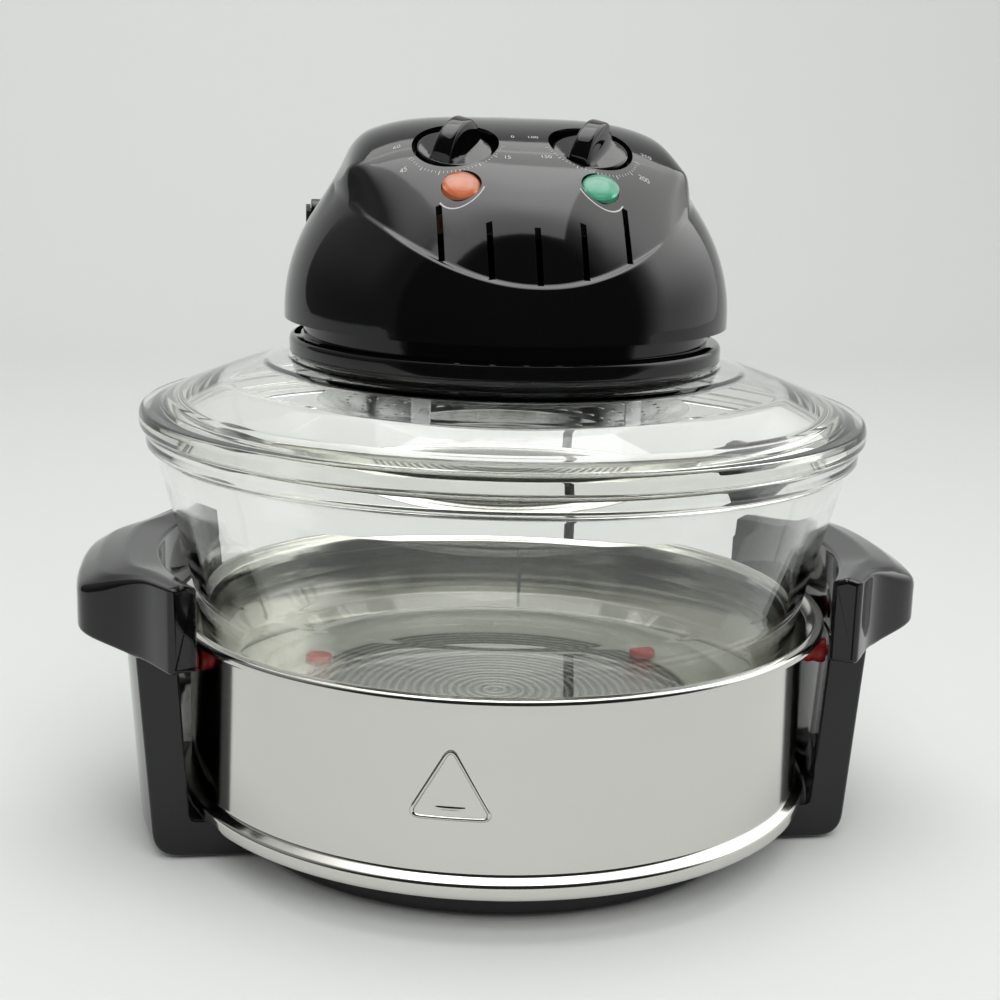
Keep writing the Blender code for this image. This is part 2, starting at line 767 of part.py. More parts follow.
def make_pads():
    """Silicone buttons with a barbed stem through the floor plate."""
    top = BOWL_BOTTOM - GAP
    seat = PLATE_TOP + GAP
    under = PLATE_TOP - STEEL - GAP
    profile = [
        (0, top),
        (PAD_RADIUS - 4 * GAP, top),
        (PAD_RADIUS, top - 4 * GAP),
        (PAD_RADIUS, seat),
        (PAD_STEM_RADIUS, seat),
        (PAD_STEM_RADIUS, under),
        (PAD_BARB_RADIUS, under),
        (PAD_STEM_RADIUS, under - PAD_BARB_DROP),
        (0, under - PAD_BARB_DROP),
    ]
    for name, t in zip(("pad_right", "pad_left", "pad_front"), PAD_TURNS):
        pad = turned(name, profile, SMALL_SIDES, "silicone")
        pad.location = around(PAD_RING, t, 0)


def spacer_turns():
    return (-SPACER_TURN, SPACER_TURN, 180 - SPACER_TURN, 180 + SPACER_TURN)


def peg_end():
    return post_inner(SPACER_HEIGHT) + SPACER_PEG_DEPTH


def make_spacers():
    """Silicone bumpers between the shell's wall and the posts, each pegged in its post."""
    face = post_inner(SPACER_HEIGHT) - SPACER_RADIUS * (POST_INNER_TOP - POST_INNER_FOOT) / (POST_TOP - BASE_TOP)
    face -= 3 * GAP
    profile = [
        (0, peg_end()),
        (SPACER_PEG_RADIUS, peg_end()),
        (SPACER_PEG_RADIUS, face),
        (SPACER_RADIUS, face),
        (SPACER_RADIUS, SHELL_RADIUS + GAP),
        (0, SHELL_RADIUS + GAP),
    ]
    names = ("spacer_right_front", "spacer_right_rear", "spacer_left_rear", "spacer_left_front")
    for name, t in zip(names, spacer_turns()):
        spacer = turned(name, profile, SMALL_SIDES, "silicone")
        lean = Matrix.Rotation(math.radians(90), 4, "Y")
        spacer.matrix_world = Matrix.Translation((0, 0, SPACER_HEIGHT)) @ turned_about(t) @ lean


# Side grips

def grip_outline():
    """Plan of the right grip: an arc inside, a nearly straight hand edge outside."""
    inner = arc((0, 0), GRIP_INNER, GRIP_HALF_ANGLE, -GRIP_HALF_ANGLE, 9)
    tip = around(POST_OUTER_TOP - 0.0035, GRIP_HALF_ANGLE - 1, 0)
    kink = around(POST_OUTER_TOP + 0.0010, 19.2, 0)
    reach = GRIP_REACH - GRIP_BULGE
    half = 0.86 * BAR_HALF_WIDTH
    round_off = GRIP_BULGE
    outer = [(tip.x, -tip.y), (kink.x, -kink.y), (reach - round_off, -half), (reach, round_off - half)]
    bulge = [(GRIP_REACH - GRIP_BULGE * s * s, half * s) for s in (-0.5, 0, 0.5)]
    mirrored = [(x, -y) for x, y in reversed(outer)]
    return [*inner, *outer, *bulge, *mirrored]


def make_grip(name, side):
    low = POST_TOP + GAP
    grip = plate(name, grip_outline(), GRIP_TOP_HIGH + OVERRUN - low, "black_gloss")
    grip.data.transform(Matrix.Translation((0, 0, low)))
    back = GRIP_INNER - 0.0300
    edge = POST_OUTER_TOP + GAP
    profile = [
        (back, low),
        (edge, low),
        (GRIP_REACH + OVERRUN, low + GRIP_UNDER_RISE),
        (GRIP_REACH + OVERRUN, GRIP_TOP_OUTER - OVERRUN),
        (GRIP_REACH - 2 * OVERRUN, GRIP_TOP_OUTER + OVERRUN),
        (GRIP_REACH - 0.0120, GRIP_TOP_HIGH - 0.0045),
        (GRIP_REACH - 0.0220, GRIP_TOP_HIGH - 0.0008),
        (GRIP_REACH - 0.0300, GRIP_TOP_HIGH),
        (GRIP_INNER, GRIP_TOP_INNER),
        (back, GRIP_TOP_INNER - 2 * OVERRUN),
    ]
    width = 2 * GRIP_REACH
    side_view = plate(name + "_side", profile, width)
    side_view.data.transform(Matrix.Rotation(math.radians(90), 4, "X"))
    side_view.data.transform(Matrix.Translation((0, width / 2, 0)))
    combine(grip, side_view, "INTERSECT")
    pocket = turned(
        name + "_pocket",
        [
            (TONGUE_OUTER + GAP, POST_TOP + TONGUE_RISE + GAP),
            (TONGUE_OUTER + GAP, POST_TOP - OVERRUN),
            (TONGUE_INNER - GAP, POST_TOP - OVERRUN),
            (TONGUE_INNER - GAP, POST_TOP + TONGUE_RISE + GAP),
        ],
        POST_SIDES,
    )
    half = TONGUE_HALF_WIDTH + GAP
    limit = box(name + "_pocket_limit", (0, -half, 0), (GRIP_REACH, half, GRIP_TOP_HIGH))
    combine(pocket, limit, "INTERSECT")
    combine(grip, pocket)
    settle(grip)
    shade(grip)
    if side < 0:
        grip.rotation_euler.z = math.pi


# Glass bowl and lid

def make_bowl():
    centre = (BOWL_FLAT_RADIUS, BOWL_BOTTOM + BOWL_CORNER)
    outer_corner = arc(centre, BOWL_CORNER, -10, -90, 4)
    inner_corner = arc(centre, BOWL_CORNER - BOWL_GLASS, -90, -10, 4)
    edge = 0.25 * BOWL_GLASS
    profile = [
        (0, BOWL_BOTTOM + BOWL_GLASS),
        *inner_corner,
        (BOWL_WAIST_RADIUS - BOWL_GLASS, BOWL_WAIST_HEIGHT),
        (BOWL_SHOULDER_RADIUS - BOWL_GLASS, BOWL_SHOULDER_HEIGHT),
        (BOWL_RIM_RADIUS - 1.7 * BOWL_GLASS, BOWL_RIM_LOW),
        (BOWL_RIM_RADIUS - 1.5 * BOWL_GLASS, BOWL_RIM_TOP - edge),
        (BOWL_RIM_RADIUS - 1.3 * BOWL_GLASS, BOWL_RIM_TOP),
        (BOWL_RIM_RADIUS - edge, BOWL_RIM_TOP),
        (BOWL_RIM_RADIUS, BOWL_RIM_TOP - edge),
        (BOWL_RIM_RADIUS, BOWL_RIM_LOW + edge),
        (BOWL_RIM_RADIUS - edge, BOWL_RIM_LOW),
        (BOWL_RIM_RADIUS - 0.8 * BOWL_GLASS, BOWL_RIM_LOW - 2 * edge),
        (BOWL_SHOULDER_RADIUS, BOWL_SHOULDER_HEIGHT),
        (BOWL_WAIST_RADIUS, BOWL_WAIST_HEIGHT),
        *outer_corner,
        (0, BOWL_BOTTOM),
    ]
    return turned("glass_bowl", profile, BIG_SIDES, "glass")


LID_BOTTOM = BOWL_RIM_TOP + GAP
LID_NECK_UNDER = LID_NECK_TOP - LID_GLASS
LID_HOLE = SPIGOT_RADIUS + GAP


def make_lid():
    top = LID_BOTTOM + LID_RIM_HEIGHT
    edge = 0.3 * LID_GLASS
    run = LID_SLOPE_RADIUS - LID_NECK_RADIUS
    fall = LID_NECK_TOP - LID_SLOPE_LOW
    slope_shares = ((0.18, 0.08), (0.55, 0.46))
    slope = [(LID_NECK_RADIUS + run * s, LID_NECK_TOP - fall * t) for s, t in slope_shares]
    under = [(radius, height - LID_GLASS) for radius, height in reversed(slope)]
    profile = [
        (LID_HOLE, LID_NECK_TOP),
        (LID_NECK_RADIUS, LID_NECK_TOP),
        *slope,
        (LID_SLOPE_RADIUS, LID_SLOPE_LOW),
        (LID_STEP_RADIUS, top + edge),
        (LID_STEP_RADIUS + 0.5 * LID_GLASS, top),
        (LID_RIM_RADIUS - edge, top),
        (LID_RIM_RADIUS, top - edge),
        (LID_RIM_RADIUS, LID_BOTTOM + edge),
        (LID_RIM_RADIUS - edge, LID_BOTTOM),
        (LID_RIDGE_OUTER + edge, LID_BOTTOM),
        (LID_RIDGE_OUTER, LID_BOTTOM - LID_RIDGE_DROP),
        (LID_RIDGE_INNER, LID_BOTTOM - LID_RIDGE_DROP),
        (LID_RIDGE_INNER - edge, LID_SLOPE_LOW - LID_GLASS),
        *under,
        (LID_NECK_RADIUS, LID_NECK_UNDER),
        (LID_HOLE, LID_NECK_UNDER),
    ]
    return turned("glass_lid", profile, BIG_SIDES, "glass")


# Head flange, gasket and reflector

FLANGE_BOTTOM = LID_NECK_TOP + GAP
FLANGE_TOP = FLANGE_BOTTOM + FLANGE_HEIGHT
WEB_UNDER = WEB_TOP - WEB_THICKNESS
GASKET_TOP = LID_NECK_UNDER - GAP
REFLECTOR_FLANGE_TOP = GASKET_TOP - GASKET_THICKNESS - GAP
SPIGOT_BOTTOM = REFLECTOR_FLANGE_TOP + GAP
SPIGOT_INNER = SPIGOT_RADIUS - SPIGOT_WALL


def make_flange():
    edge = 0.1 * FLANGE_HEIGHT
    profile = [
        (NECK_RADIUS, NECK_TOP),
        (NECK_RADIUS, FLANGE_TOP),
        (FLANGE_RADIUS - edge, FLANGE_TOP),
        (FLANGE_RADIUS, FLANGE_TOP - edge),
        (FLANGE_RADIUS, FLANGE_BOTTOM + edge),
        (FLANGE_RADIUS - edge, FLANGE_BOTTOM),
        (SPIGOT_RADIUS, FLANGE_BOTTOM),
        (SPIGOT_RADIUS, SPIGOT_BOTTOM),
        (SPIGOT_INNER, SPIGOT_BOTTOM),
        (SPIGOT_INNER, WEB_UNDER),
        (WEB_HOLE, WEB_UNDER),
        (WEB_HOLE, WEB_TOP),
        (NECK_RADIUS - NECK_WALL, WEB_TOP),
        (NECK_RADIUS - NECK_WALL, NECK_TOP),
    ]
    flange = turned("head_flange", profile, BIG_SIDES, "black_gloss")
    middle = (NECK_RADIUS + FLANGE_RADIUS) / 2
    for name, turn in (("front_air_slot", -90), ("rear_air_slot", 90)):
        low, high = turn - AIR_SLOT_HALF_ANGLE, turn + AIR_SLOT_HALF_ANGLE
        outline = arc((0, 0), middle + AIR_SLOT_WIDTH / 2, low, high, 12)
        outline += arc((0, 0), middle - AIR_SLOT_WIDTH / 2, high, low, 12)
        slot = plate(name, outline, AIR_SLOT_DEPTH + OVERRUN)
        slot.location.z = FLANGE_TOP - AIR_SLOT_DEPTH
        if turn < 0:
            combine(flange, slot)
    rear_half = 0.8 * AIR_SLOT_HALF_ANGLE - 28
    slots = bpy.data.objects["rear_air_slot"]
    bpy.data.objects.remove(slots)
    for name, turn in (("rear_slot_left", 90 + CORD_TURN), ("rear_slot_right", 90 - CORD_TURN)):
        low, high = turn - rear_half, turn + rear_half
        outline = arc((0, 0), middle + AIR_SLOT_WIDTH / 2, low, high, 4)
        outline += arc((0, 0), middle - AIR_SLOT_WIDTH / 2, high, low, 4)
        slot = plate(name, outline, AIR_SLOT_DEPTH + OVERRUN)
        slot.location.z = FLANGE_TOP - AIR_SLOT_DEPTH
        combine(flange, slot)
    bosses = [
        (around(REFLECTOR_BOSS_RING, t, REFLECTOR_TOP + GAP), around(REFLECTOR_BOSS_RING, t, WEB_UNDER + GAP))
        for t in REFLECTOR_BOSS_TURNS
    ]
    combine(flange, rods("web_bosses", REFLECTOR_BOSS_RADIUS, bosses, SMALL_SIDES), "UNION")
    post = MOTOR_POST_OFFSET
    posts = [
        ((x, y, WEB_TOP - WEB_THICKNESS / 2), (x, y, MOTOR_BOTTOM - GAP)) for x in (-post, post) for y in (-post, post)
    ]
    combine(flange, rods("motor_posts", MOTOR_POST_RADIUS, posts, SMALL_SIDES), "UNION")
    exit_hole = [(cord_point(0, -RELIEF_SEAT - GAP), cord_point(0, OVERRUN))]
    combine(flange, rods("cord_socket", RELIEF_ROOT_RADIUS - RELIEF_SEAT_STEP + GAP, exit_hole, SMALL_SIDES))
    cover_holes = [
        (Vector((x, y, WEB_UNDER - OVERRUN)), Vector((x, y, WEB_TOP + OVERRUN))) for x, y in cover_boss_places()
    ]
    combine(flange, rods("web_cover_holes", SCREW_RADIUS + GAP, cover_holes, SCREW_SIDES))
    return flange


RELIEF_SEAT_STEP = 0.0010
REFLECTOR_TOP = REFLECTOR_ROOF + REFLECTOR_SHEET


def make_gasket():
    turned(
        "lid_gasket",
        [
            (REFLECTOR_FLANGE - 2 * GAP, GASKET_TOP),
            (REFLECTOR_FLANGE - 2 * GAP, GASKET_TOP - GASKET_THICKNESS),
            (LID_HOLE, GASKET_TOP - GASKET_THICKNESS),
            (LID_HOLE, GASKET_TOP),
        ],
        BIG_SIDES,
        "rubber",
    )


def make_reflector():
    wall = SPIGOT_INNER - GAP
    profile = [
        (REFLECTOR_HOLE, REFLECTOR_TOP),
        (wall, REFLECTOR_TOP),
        (wall, REFLECTOR_FLANGE_TOP),
        (REFLECTOR_FLANGE, REFLECTOR_FLANGE_TOP),
        (REFLECTOR_FLANGE, REFLECTOR_FLANGE_TOP - REFLECTOR_SHEET),
        (wall - REFLECTOR_SHEET, REFLECTOR_FLANGE_TOP - REFLECTOR_SHEET),
        (wall - REFLECTOR_SHEET, REFLECTOR_ROOF),
        (REFLECTOR_HOLE, REFLECTOR_ROOF),
    ]
    return turned("reflector", profile, BIG_SIDES, "bright_metal")


# Heater: quartz tube, coil and ceramic holders

HEATER_START = 90 + HEATER_HALF_GAP
HEATER_SWEEP = 360 - 2 * HEATER_HALF_GAP


def heater_point(share, across=0, up=0):
    """A point along the open ring, moved outwards and upwards from its middle line."""
    turn = HEATER_START + HEATER_SWEEP * share
    return around(HEATER_RING + across, turn, HEATER_HEIGHT + up)


def ring_tube(name, radius, count, overshoot, finish):
    line = [heater_point(-overshoot + (1 + 2 * overshoot) * i / count) for i in range(count + 1)]
    thing = tube(name, line, radius, 2, "quartz")
    curve = thing.data
    bpy.data.objects.remove(thing)
    return meshed(name, curve, Matrix.Identity(4), finish)


def make_quartz_tube():
    count = 24
    outer = ring_tube("quartz_tube", HEATER_TUBE_RADIUS, count, 0, "quartz")
    inner = ring_tube("quartz_bore", HEATER_TUBE_RADIUS - HEATER_TUBE_WALL, count, 1 / count / 4, None)
    combine(outer, inner)
    shade(outer)


def make_coil():
    """One wire wound along the open ring, with straight ends into the holders."""
    arc_length = HEATER_RING * math.radians(HEATER_SWEEP)
    wire = 2 * COIL_WIRE
    points = []
    count = COIL_CURLS * COIL_POINTS
    ease = 0.02
    for i in range(count + 1):
        share = i / count
        turn = math.tau * COIL_CURLS * share
        across, up = COIL_RADIUS * math.cos(turn), COIL_RADIUS * math.sin(turn)
        points.append(heater_point(ease + (1 - 2 * ease) * share, across, up))
    head = heater_point(0, COIL_RADIUS)
    tail = heater_point(1, COIL_RADIUS)
    way_in = heater_way(0)
    way_out = heater_way(1)
    points = [head - way_in * wire, head, *points, tail, tail + way_out * wire]
    skip = COIL_POINTS - 2
    print("heater coil gap mm", round(1000 * least_gap(points[2:-2], wire, skip), 2), "arc", round(arc_length, 3))
    tube("heater_coil", points, COIL_WIRE, 1, "dark_metal")


def heater_way(share):
    step = 0.001
    return (heater_point(share + step) - heater_point(share - step)).normalized()


def make_holders():
    """Ceramic blocks that stand under the reflector and take the tube's ends."""
    for name, share, sense in (("heater_holder_left", 0, -1), ("heater_holder_right", 1, 1)):
        way = heater_way(share) * sense
        end = heater_point(share)
        half = HOLDER_WIDTH / 2
        block = box(
            name,
            (-half, -HOLDER_SEAT, -HEATER_TUBE_RADIUS - 2 * HEATER_TUBE_WALL),
            (half, HOLDER_LENGTH - HOLDER_SEAT, REFLECTOR_ROOF - GAP - HEATER_HEIGHT),
            "ceramic",
        )
        bore = rods(
            name + "_bore",
            HEATER_TUBE_RADIUS + HOLDER_BORE_EASE,
            [((0, -HOLDER_SEAT - OVERRUN, 0), (0, 4 * GAP + 2 * COIL_WIRE, 0))],
            MIDDLE_SIDES,
        )
        place = Matrix.Translation(end) @ Vector((way.x, way.y, 0)).to_track_quat("Y", "Z").to_matrix().to_4x4()
        block.data.transform(place)
        bore.data.transform(place)
        combine(block, bore)


# Heater guard and its brackets

def louvre(ring, turn, half_length):
    """A crescent that curves outwards at a ring radius."""
    shares = (-1, 0, 1)
    outer = [(ring + LOUVRE_BULGE * (1 - s * s) + LOUVRE_WIDTH / 2, half_length * s) for s in shares]
    inner = [(ring + 0.4 * LOUVRE_BULGE * (1 - s * s) - LOUVRE_WIDTH / 2, half_length * s) for s in reversed(shares)]
    spin = turned_about(turn)
    return [(spin @ Vector((x, y, 0))).xy for x, y in outer + inner]


def make_guard():
    inner_rim = GUARD_RIM_RADIUS - GUARD_RIM_WIDTH
    path = [
        (0, GUARD_BOTTOM + REFLECTOR_SHEET),
        (GUARD_DISH_RADIUS, GUARD_BOTTOM + REFLECTOR_SHEET),
        (inner_rim, GUARD_TOP),
        (GUARD_RIM_RADIUS, GUARD_TOP),
        (GUARD_RIM_RADIUS, GUARD_TOP - REFLECTOR_SHEET),
        (inner_rim + REFLECTOR_SHEET / 2, GUARD_TOP - REFLECTOR_SHEET),
        (GUARD_DISH_RADIUS + REFLECTOR_SHEET / 2, GUARD_BOTTOM),
        (0, GUARD_BOTTOM),
    ]
    guard = turned("heater_guard", path, BIG_SIDES, "bright_metal")
    shape = bmesh.new()
    for ring, count, half_length in LOUVRE_ROWS:
        for i in range(count):
            outline = louvre(ring, 360 * (i + 0.5) / count, half_length)
            for height in (GUARD_BOTTOM - OVERRUN, GUARD_TOP + OVERRUN):
                verts = [shape.verts.new((x, y, height)) for x, y in outline]
                if height < GUARD_BOTTOM:
                    lower = verts
                    shape.faces.new(list(reversed(verts)))
                else:
                    shape.faces.new(verts)
            for k in range(len(verts)):
                n = (k + 1) % len(verts)
                shape.faces.new((lower[k], lower[n], verts[n], verts[k]))
    combine(guard, from_bmesh("louvres", shape))


def bracket_ring():
    return GUARD_RIM_RADIUS - BRACKET_SHEET


def make_brackets():
    """Z shaped straps from the reflector's flange down to the guard's rim."""
    low = GUARD_TOP + GAP
    high = REFLECTOR_FLANGE_TOP - REFLECTOR_SHEET - GAP
    outer = bracket_ring()
    outline = [
        (outer - BRACKET_FOOT, low),
        (outer + BRACKET_SHEET, low),
        (outer + BRACKET_SHEET, high),
        (outer - BRACKET_FOOT / 2, high),
        (outer - BRACKET_FOOT / 2, high - BRACKET_SHEET),
        (outer, high - BRACKET_SHEET),
        (outer, low + BRACKET_SHEET),
        (outer - BRACKET_FOOT, low + BRACKET_SHEET),
    ]
    names = ("bracket_rear_right", "bracket_rear_left", "bracket_front_left", "bracket_front_right")
    stand = Matrix.Translation((0, BRACKET_WIDTH / 2, 0)) @ Matrix.Rotation(math.radians(90), 4, "X")
    for name, t in zip(names, BRACKET_TURNS):
        strap = plate(name, outline, BRACKET_WIDTH, "bright_metal")
        strap.data.transform(stand)
        strap.rotation_euler.z = math.radians(t)


# Fan rotor and motor

def make_fan(name, radius, top, height, hub, blades, finish):
    """A disc with upright blades round a hub, bored for the shaft."""
    disc_under = top - FAN_SHEET
    fan = turned(
        name,
        [
            (HUB_RADIUS, top),
            (radius, top),
            (radius, disc_under),
            (HUB_RADIUS, disc_under),
            (HUB_RADIUS, top - hub),
            (SHAFT_RADIUS + GAP, top - hub),
            (SHAFT_RADIUS + GAP, top),
        ],
        MIDDLE_SIDES,
        finish,
    )
    for i in range(blades):
        blade = box(
            name + "_blade" + str(i),
            (HUB_RADIUS / 2 + SHAFT_RADIUS / 2, -FAN_SHEET / 2, top - height),
            (0.96 * radius, FAN_SHEET / 2, disc_under + FAN_SHEET / 2),
        )
        blade.data.transform(turned_about(360 * i / blades))
        combine(fan, blade, "UNION")
    return fan


def make_rotor():
    rods("fan_shaft", SHAFT_RADIUS, [((0, 0, SHAFT_BOTTOM), (0, 0, SHAFT_TOP))], SMALL_SIDES, "bright_metal")
    make_fan("hot_fan", HOT_FAN_RADIUS, HOT_FAN_TOP, HOT_FAN_HEIGHT, HUB_HEIGHT, HOT_BLADES, "bright_metal")
    make_fan(
        "cooling_fan", COOL_FAN_RADIUS, COOL_FAN_TOP, COOL_FAN_HEIGHT, COOL_FAN_HEIGHT, COOL_BLADES, "black_satin"
    )
    nut_top = HOT_FAN_TOP - HUB_HEIGHT - GAP
    span = [((0, 0, nut_top - FAN_NUT_HEIGHT), (0, 0, nut_top))]
    nut = rods("fan_nut", FAN_NUT_RADIUS, span, 6, "bright_metal")
    hole = [((0, 0, nut_top - FAN_NUT_HEIGHT - OVERRUN), (0, 0, nut_top + OVERRUN))]
    combine(nut, rods("fan_nut_hole", SHAFT_RADIUS + GAP, hole, SMALL_SIDES))


def make_motor():
    half = MOTOR_HALF
    top = MOTOR_BOTTOM + MOTOR_STACK
    core = box("motor_core", (-half, -half, MOTOR_BOTTOM), (half, half, top), "dark_metal")
    bell = rods("motor_bell", MOTOR_BELL_RADIUS, [((0, 0, top - OVERRUN), (0, 0, top + MOTOR_BELL_HEIGHT))], MIDDLE_SIDES)
    combine(core, bell, "UNION")
    bore = rods("motor_bore", SHAFT_RADIUS + GAP, [((0, 0, MOTOR_BOTTOM - OVERRUN), (0, 0, SHAFT_TOP + GAP))], SMALL_SIDES)
    combine(core, bore)
    middle = MOTOR_BOTTOM + MOTOR_STACK / 2
    winding = box(
        "motor_winding",
        (-WINDING_WIDTH / 2, half + GAP, middle - WINDING_HEIGHT / 2),
        (WINDING_WIDTH / 2, half + GAP + WINDING_DEPTH, middle + WINDING_HEIGHT / 2),
        "copper",
    )
    soften(winding, WINDING_DEPTH / 3)


# Top cover: dome with the raised console

def dome_radius(height, inset=0):
    share = (height - DOME_FOOT) / (DOME_RISE - inset)
    return (DOME_RADIUS - inset) * math.sqrt(max(0, 1 - share * share))


def dome_profile(inset, bottom):
    turns = np.radians(np.linspace(90, 0, 8))
    rise, radius = DOME_RISE - inset, DOME_RADIUS - inset
    points = [(radius * math.cos(t), DOME_FOOT + rise * math.sin(t)) for t in turns]
    points[0] = (0, DOME_FOOT + rise)
    return [*points, (radius, bottom), (0, bottom)]


def console_lines(x, inset=0):
    """The console's top, crease and smile at a distance from its middle, as top z, crease y, z and smile y, z."""
    half = CONSOLE_HALF - inset
    share = (x / half) ** 2
    shoulder = max(0, (abs(x) - (half - CONSOLE_ROUND)) / CONSOLE_ROUND)
    top = CONSOLE_TOP - inset - CONSOLE_SAG * share * share - CONSOLE_ROUND * 0.6 * shoulder ** 2
    crease_y = CREASE_Y + CREASE_SWEEP * share + inset
    crease_z = min(CREASE_HEIGHT + CREASE_LIFT * share, top - CONSOLE_ROUND / 2)
    smile_z = SMILE_HEIGHT + SMILE_LIFT * share
    reach = dome_radius(smile_z, 0)
    smile_y = -math.sqrt(max(0, reach * reach - x * x)) + SMILE_SINK + inset
    return top, crease_y, crease_z, smile_y, smile_z


def rear_drop(y):
    """How far the console's top falls towards its back, where it follows the dome."""
    return max(0, CONSOLE_TOP - CONSOLE_REAR_STEP - DOME_FOOT - DOME_RISE * math.sqrt(1 - (y / DOME_RADIUS) ** 2))


def console_front(x, inset):
    """The control face from its top line down to the crease and the smile, as (y, z) points."""
    top, crease_y, crease_z, smile_y, smile_z = console_lines(x, inset)
    run, fall = CONSOLE_TOP_Y - crease_y, top - crease_z
    face = [(CONSOLE_TOP_Y - run * s, top - fall * s * s) for s in (0.3, 0.55, 0.8)]
    return [(CONSOLE_TOP_Y, top), *face, (crease_y, crease_z), (smile_y, smile_z)]


def console_section(x, inset):
    """Side view of the console at a distance from its middle, as (y, z) points."""
    half = CONSOLE_HALF - inset
    front = console_front(x, inset)
    top, smile_y, smile_z = front[0][1], *front[-1]
    room = max(0, half - abs(x)) / CONSOLE_REAR_WIDTH
    back = min(CONSOLE_BACK - inset, max(0.2 * CONSOLE_BACK, CONSOLE_REAR_REACH * math.sqrt(room)))
    rear = [(back * s, top - rear_drop(back * s)) for s in (1, 0.85, 0.65, 0.35)]
    drop = CONSOLE_TOP - CREASE_HEIGHT
    return [
        (back, top - 0.9 * drop),
        *rear,
        *front,
        ((smile_y + CONSOLE_TOP_Y) / 2, smile_z - 0.1 * drop),
        (CONSOLE_TOP_Y, smile_z - 0.1 * drop),
    ]


def lofted(name, half, section, draft=0):
    """A loft from side to side through a section's outlines; its sides lean out by the draft."""
    station_shares = (0, 0.28, 0.52, 0.72, 0.88, 1)
    stations = [-half * s for s in reversed(station_shares)] + [half * s for s in station_shares[1:]]
    shape = bmesh.new()
    rings = []
    for x in stations:
        lean = draft * (x / half) ** 3
        ring = [shape.verts.new((x + lean * (CONSOLE_TOP - CONSOLE_SAG - z), y, z)) for y, z in section(x)]
        rings.append(ring)
    for near, far in zip(rings, rings[1:]):
        for k in range(len(near)):
            n = (k + 1) % len(near)
            shape.faces.new((near[k], near[n], far[n], far[k]))
    shape.faces.new(list(reversed(rings[0])))
    shape.faces.new(rings[-1])
    return from_bmesh(name, shape)


def column_section(x, inset):
    """The room above the control face, from which the dome is cut away, as (y, z) points."""
    front = console_front(x, inset)
    ahead = CREASE_Y - 10 * OVERRUN - inset
    above = CONSOLE_TOP + 10 * OVERRUN
    smile_y, smile_z = front[-1]
    lower = [(y, z - OVERRUN) for y, z in front[:-1]]
    return [
        (COLUMN_BACK, lower[0][1]),
        *lower,
        (smile_y + OVERRUN, smile_z - inset),
        (3 * ahead, smile_z - inset),
        (3 * ahead, above),
        (COLUMN_BACK, above),
    ]


def cover_body(name, inset, bottom):
    """The cover's outside, moved inwards by an inset: dome, room above the face cut away, console."""
    body = turned(name, dome_profile(inset, bottom), BIG_SIDES)
    column = lofted(name + "_column", CONSOLE_HALF - COLUMN_INSET, lambda x: column_section(x, inset))
    combine(body, column)
    console = lofted(
        name + "_console", CONSOLE_HALF - inset, lambda x: console_section(x, inset), CONSOLE_DRAFT_SHARE
    )
    combine(body, console, "UNION")
    return body


def cover_boss_places():
    return [(x, y) for x in (-COVER_BOSS_X, COVER_BOSS_X) for y in (-COVER_BOSS_Y, COVER_BOSS_Y)]


def panel_height(x, y):
    """Height of the control face, between its top line and the crease."""
    top, crease_y, crease_z, smile_y, smile_z = console_lines(x)
    share = (CONSOLE_TOP_Y - y) / (CONSOLE_TOP_Y - crease_y)
    return top - (top - crease_z) * share * share


def control_place(x, y, tilt):
    lean = Matrix.Rotation(math.radians(tilt), 4, "X")
    return Matrix.Translation((x, y, panel_height(x, y))) @ lean


def placed_rod(name, place, radius, start, end, sides, finish=None):
    line = [(place @ Vector((0, 0, start)), place @ Vector((0, 0, end)))]
    return rods(name, radius, line, sides, finish)


def bail_point(turn, across=0, up=0):
    """A point of the folded handle's arch, from one hinge eye at -90 to the other at 90."""
    angle = math.radians(turn)
    wide = Vector(((BAIL_HALF_WIDTH + across) * math.sin(angle), (BAIL_REACH + across) * math.cos(angle), up))
    drop = Matrix.Rotation(math.radians(-BAIL_DROP), 4, "X")
    return drop @ wide + Vector((0, HINGE_Y, HINGE_Z))


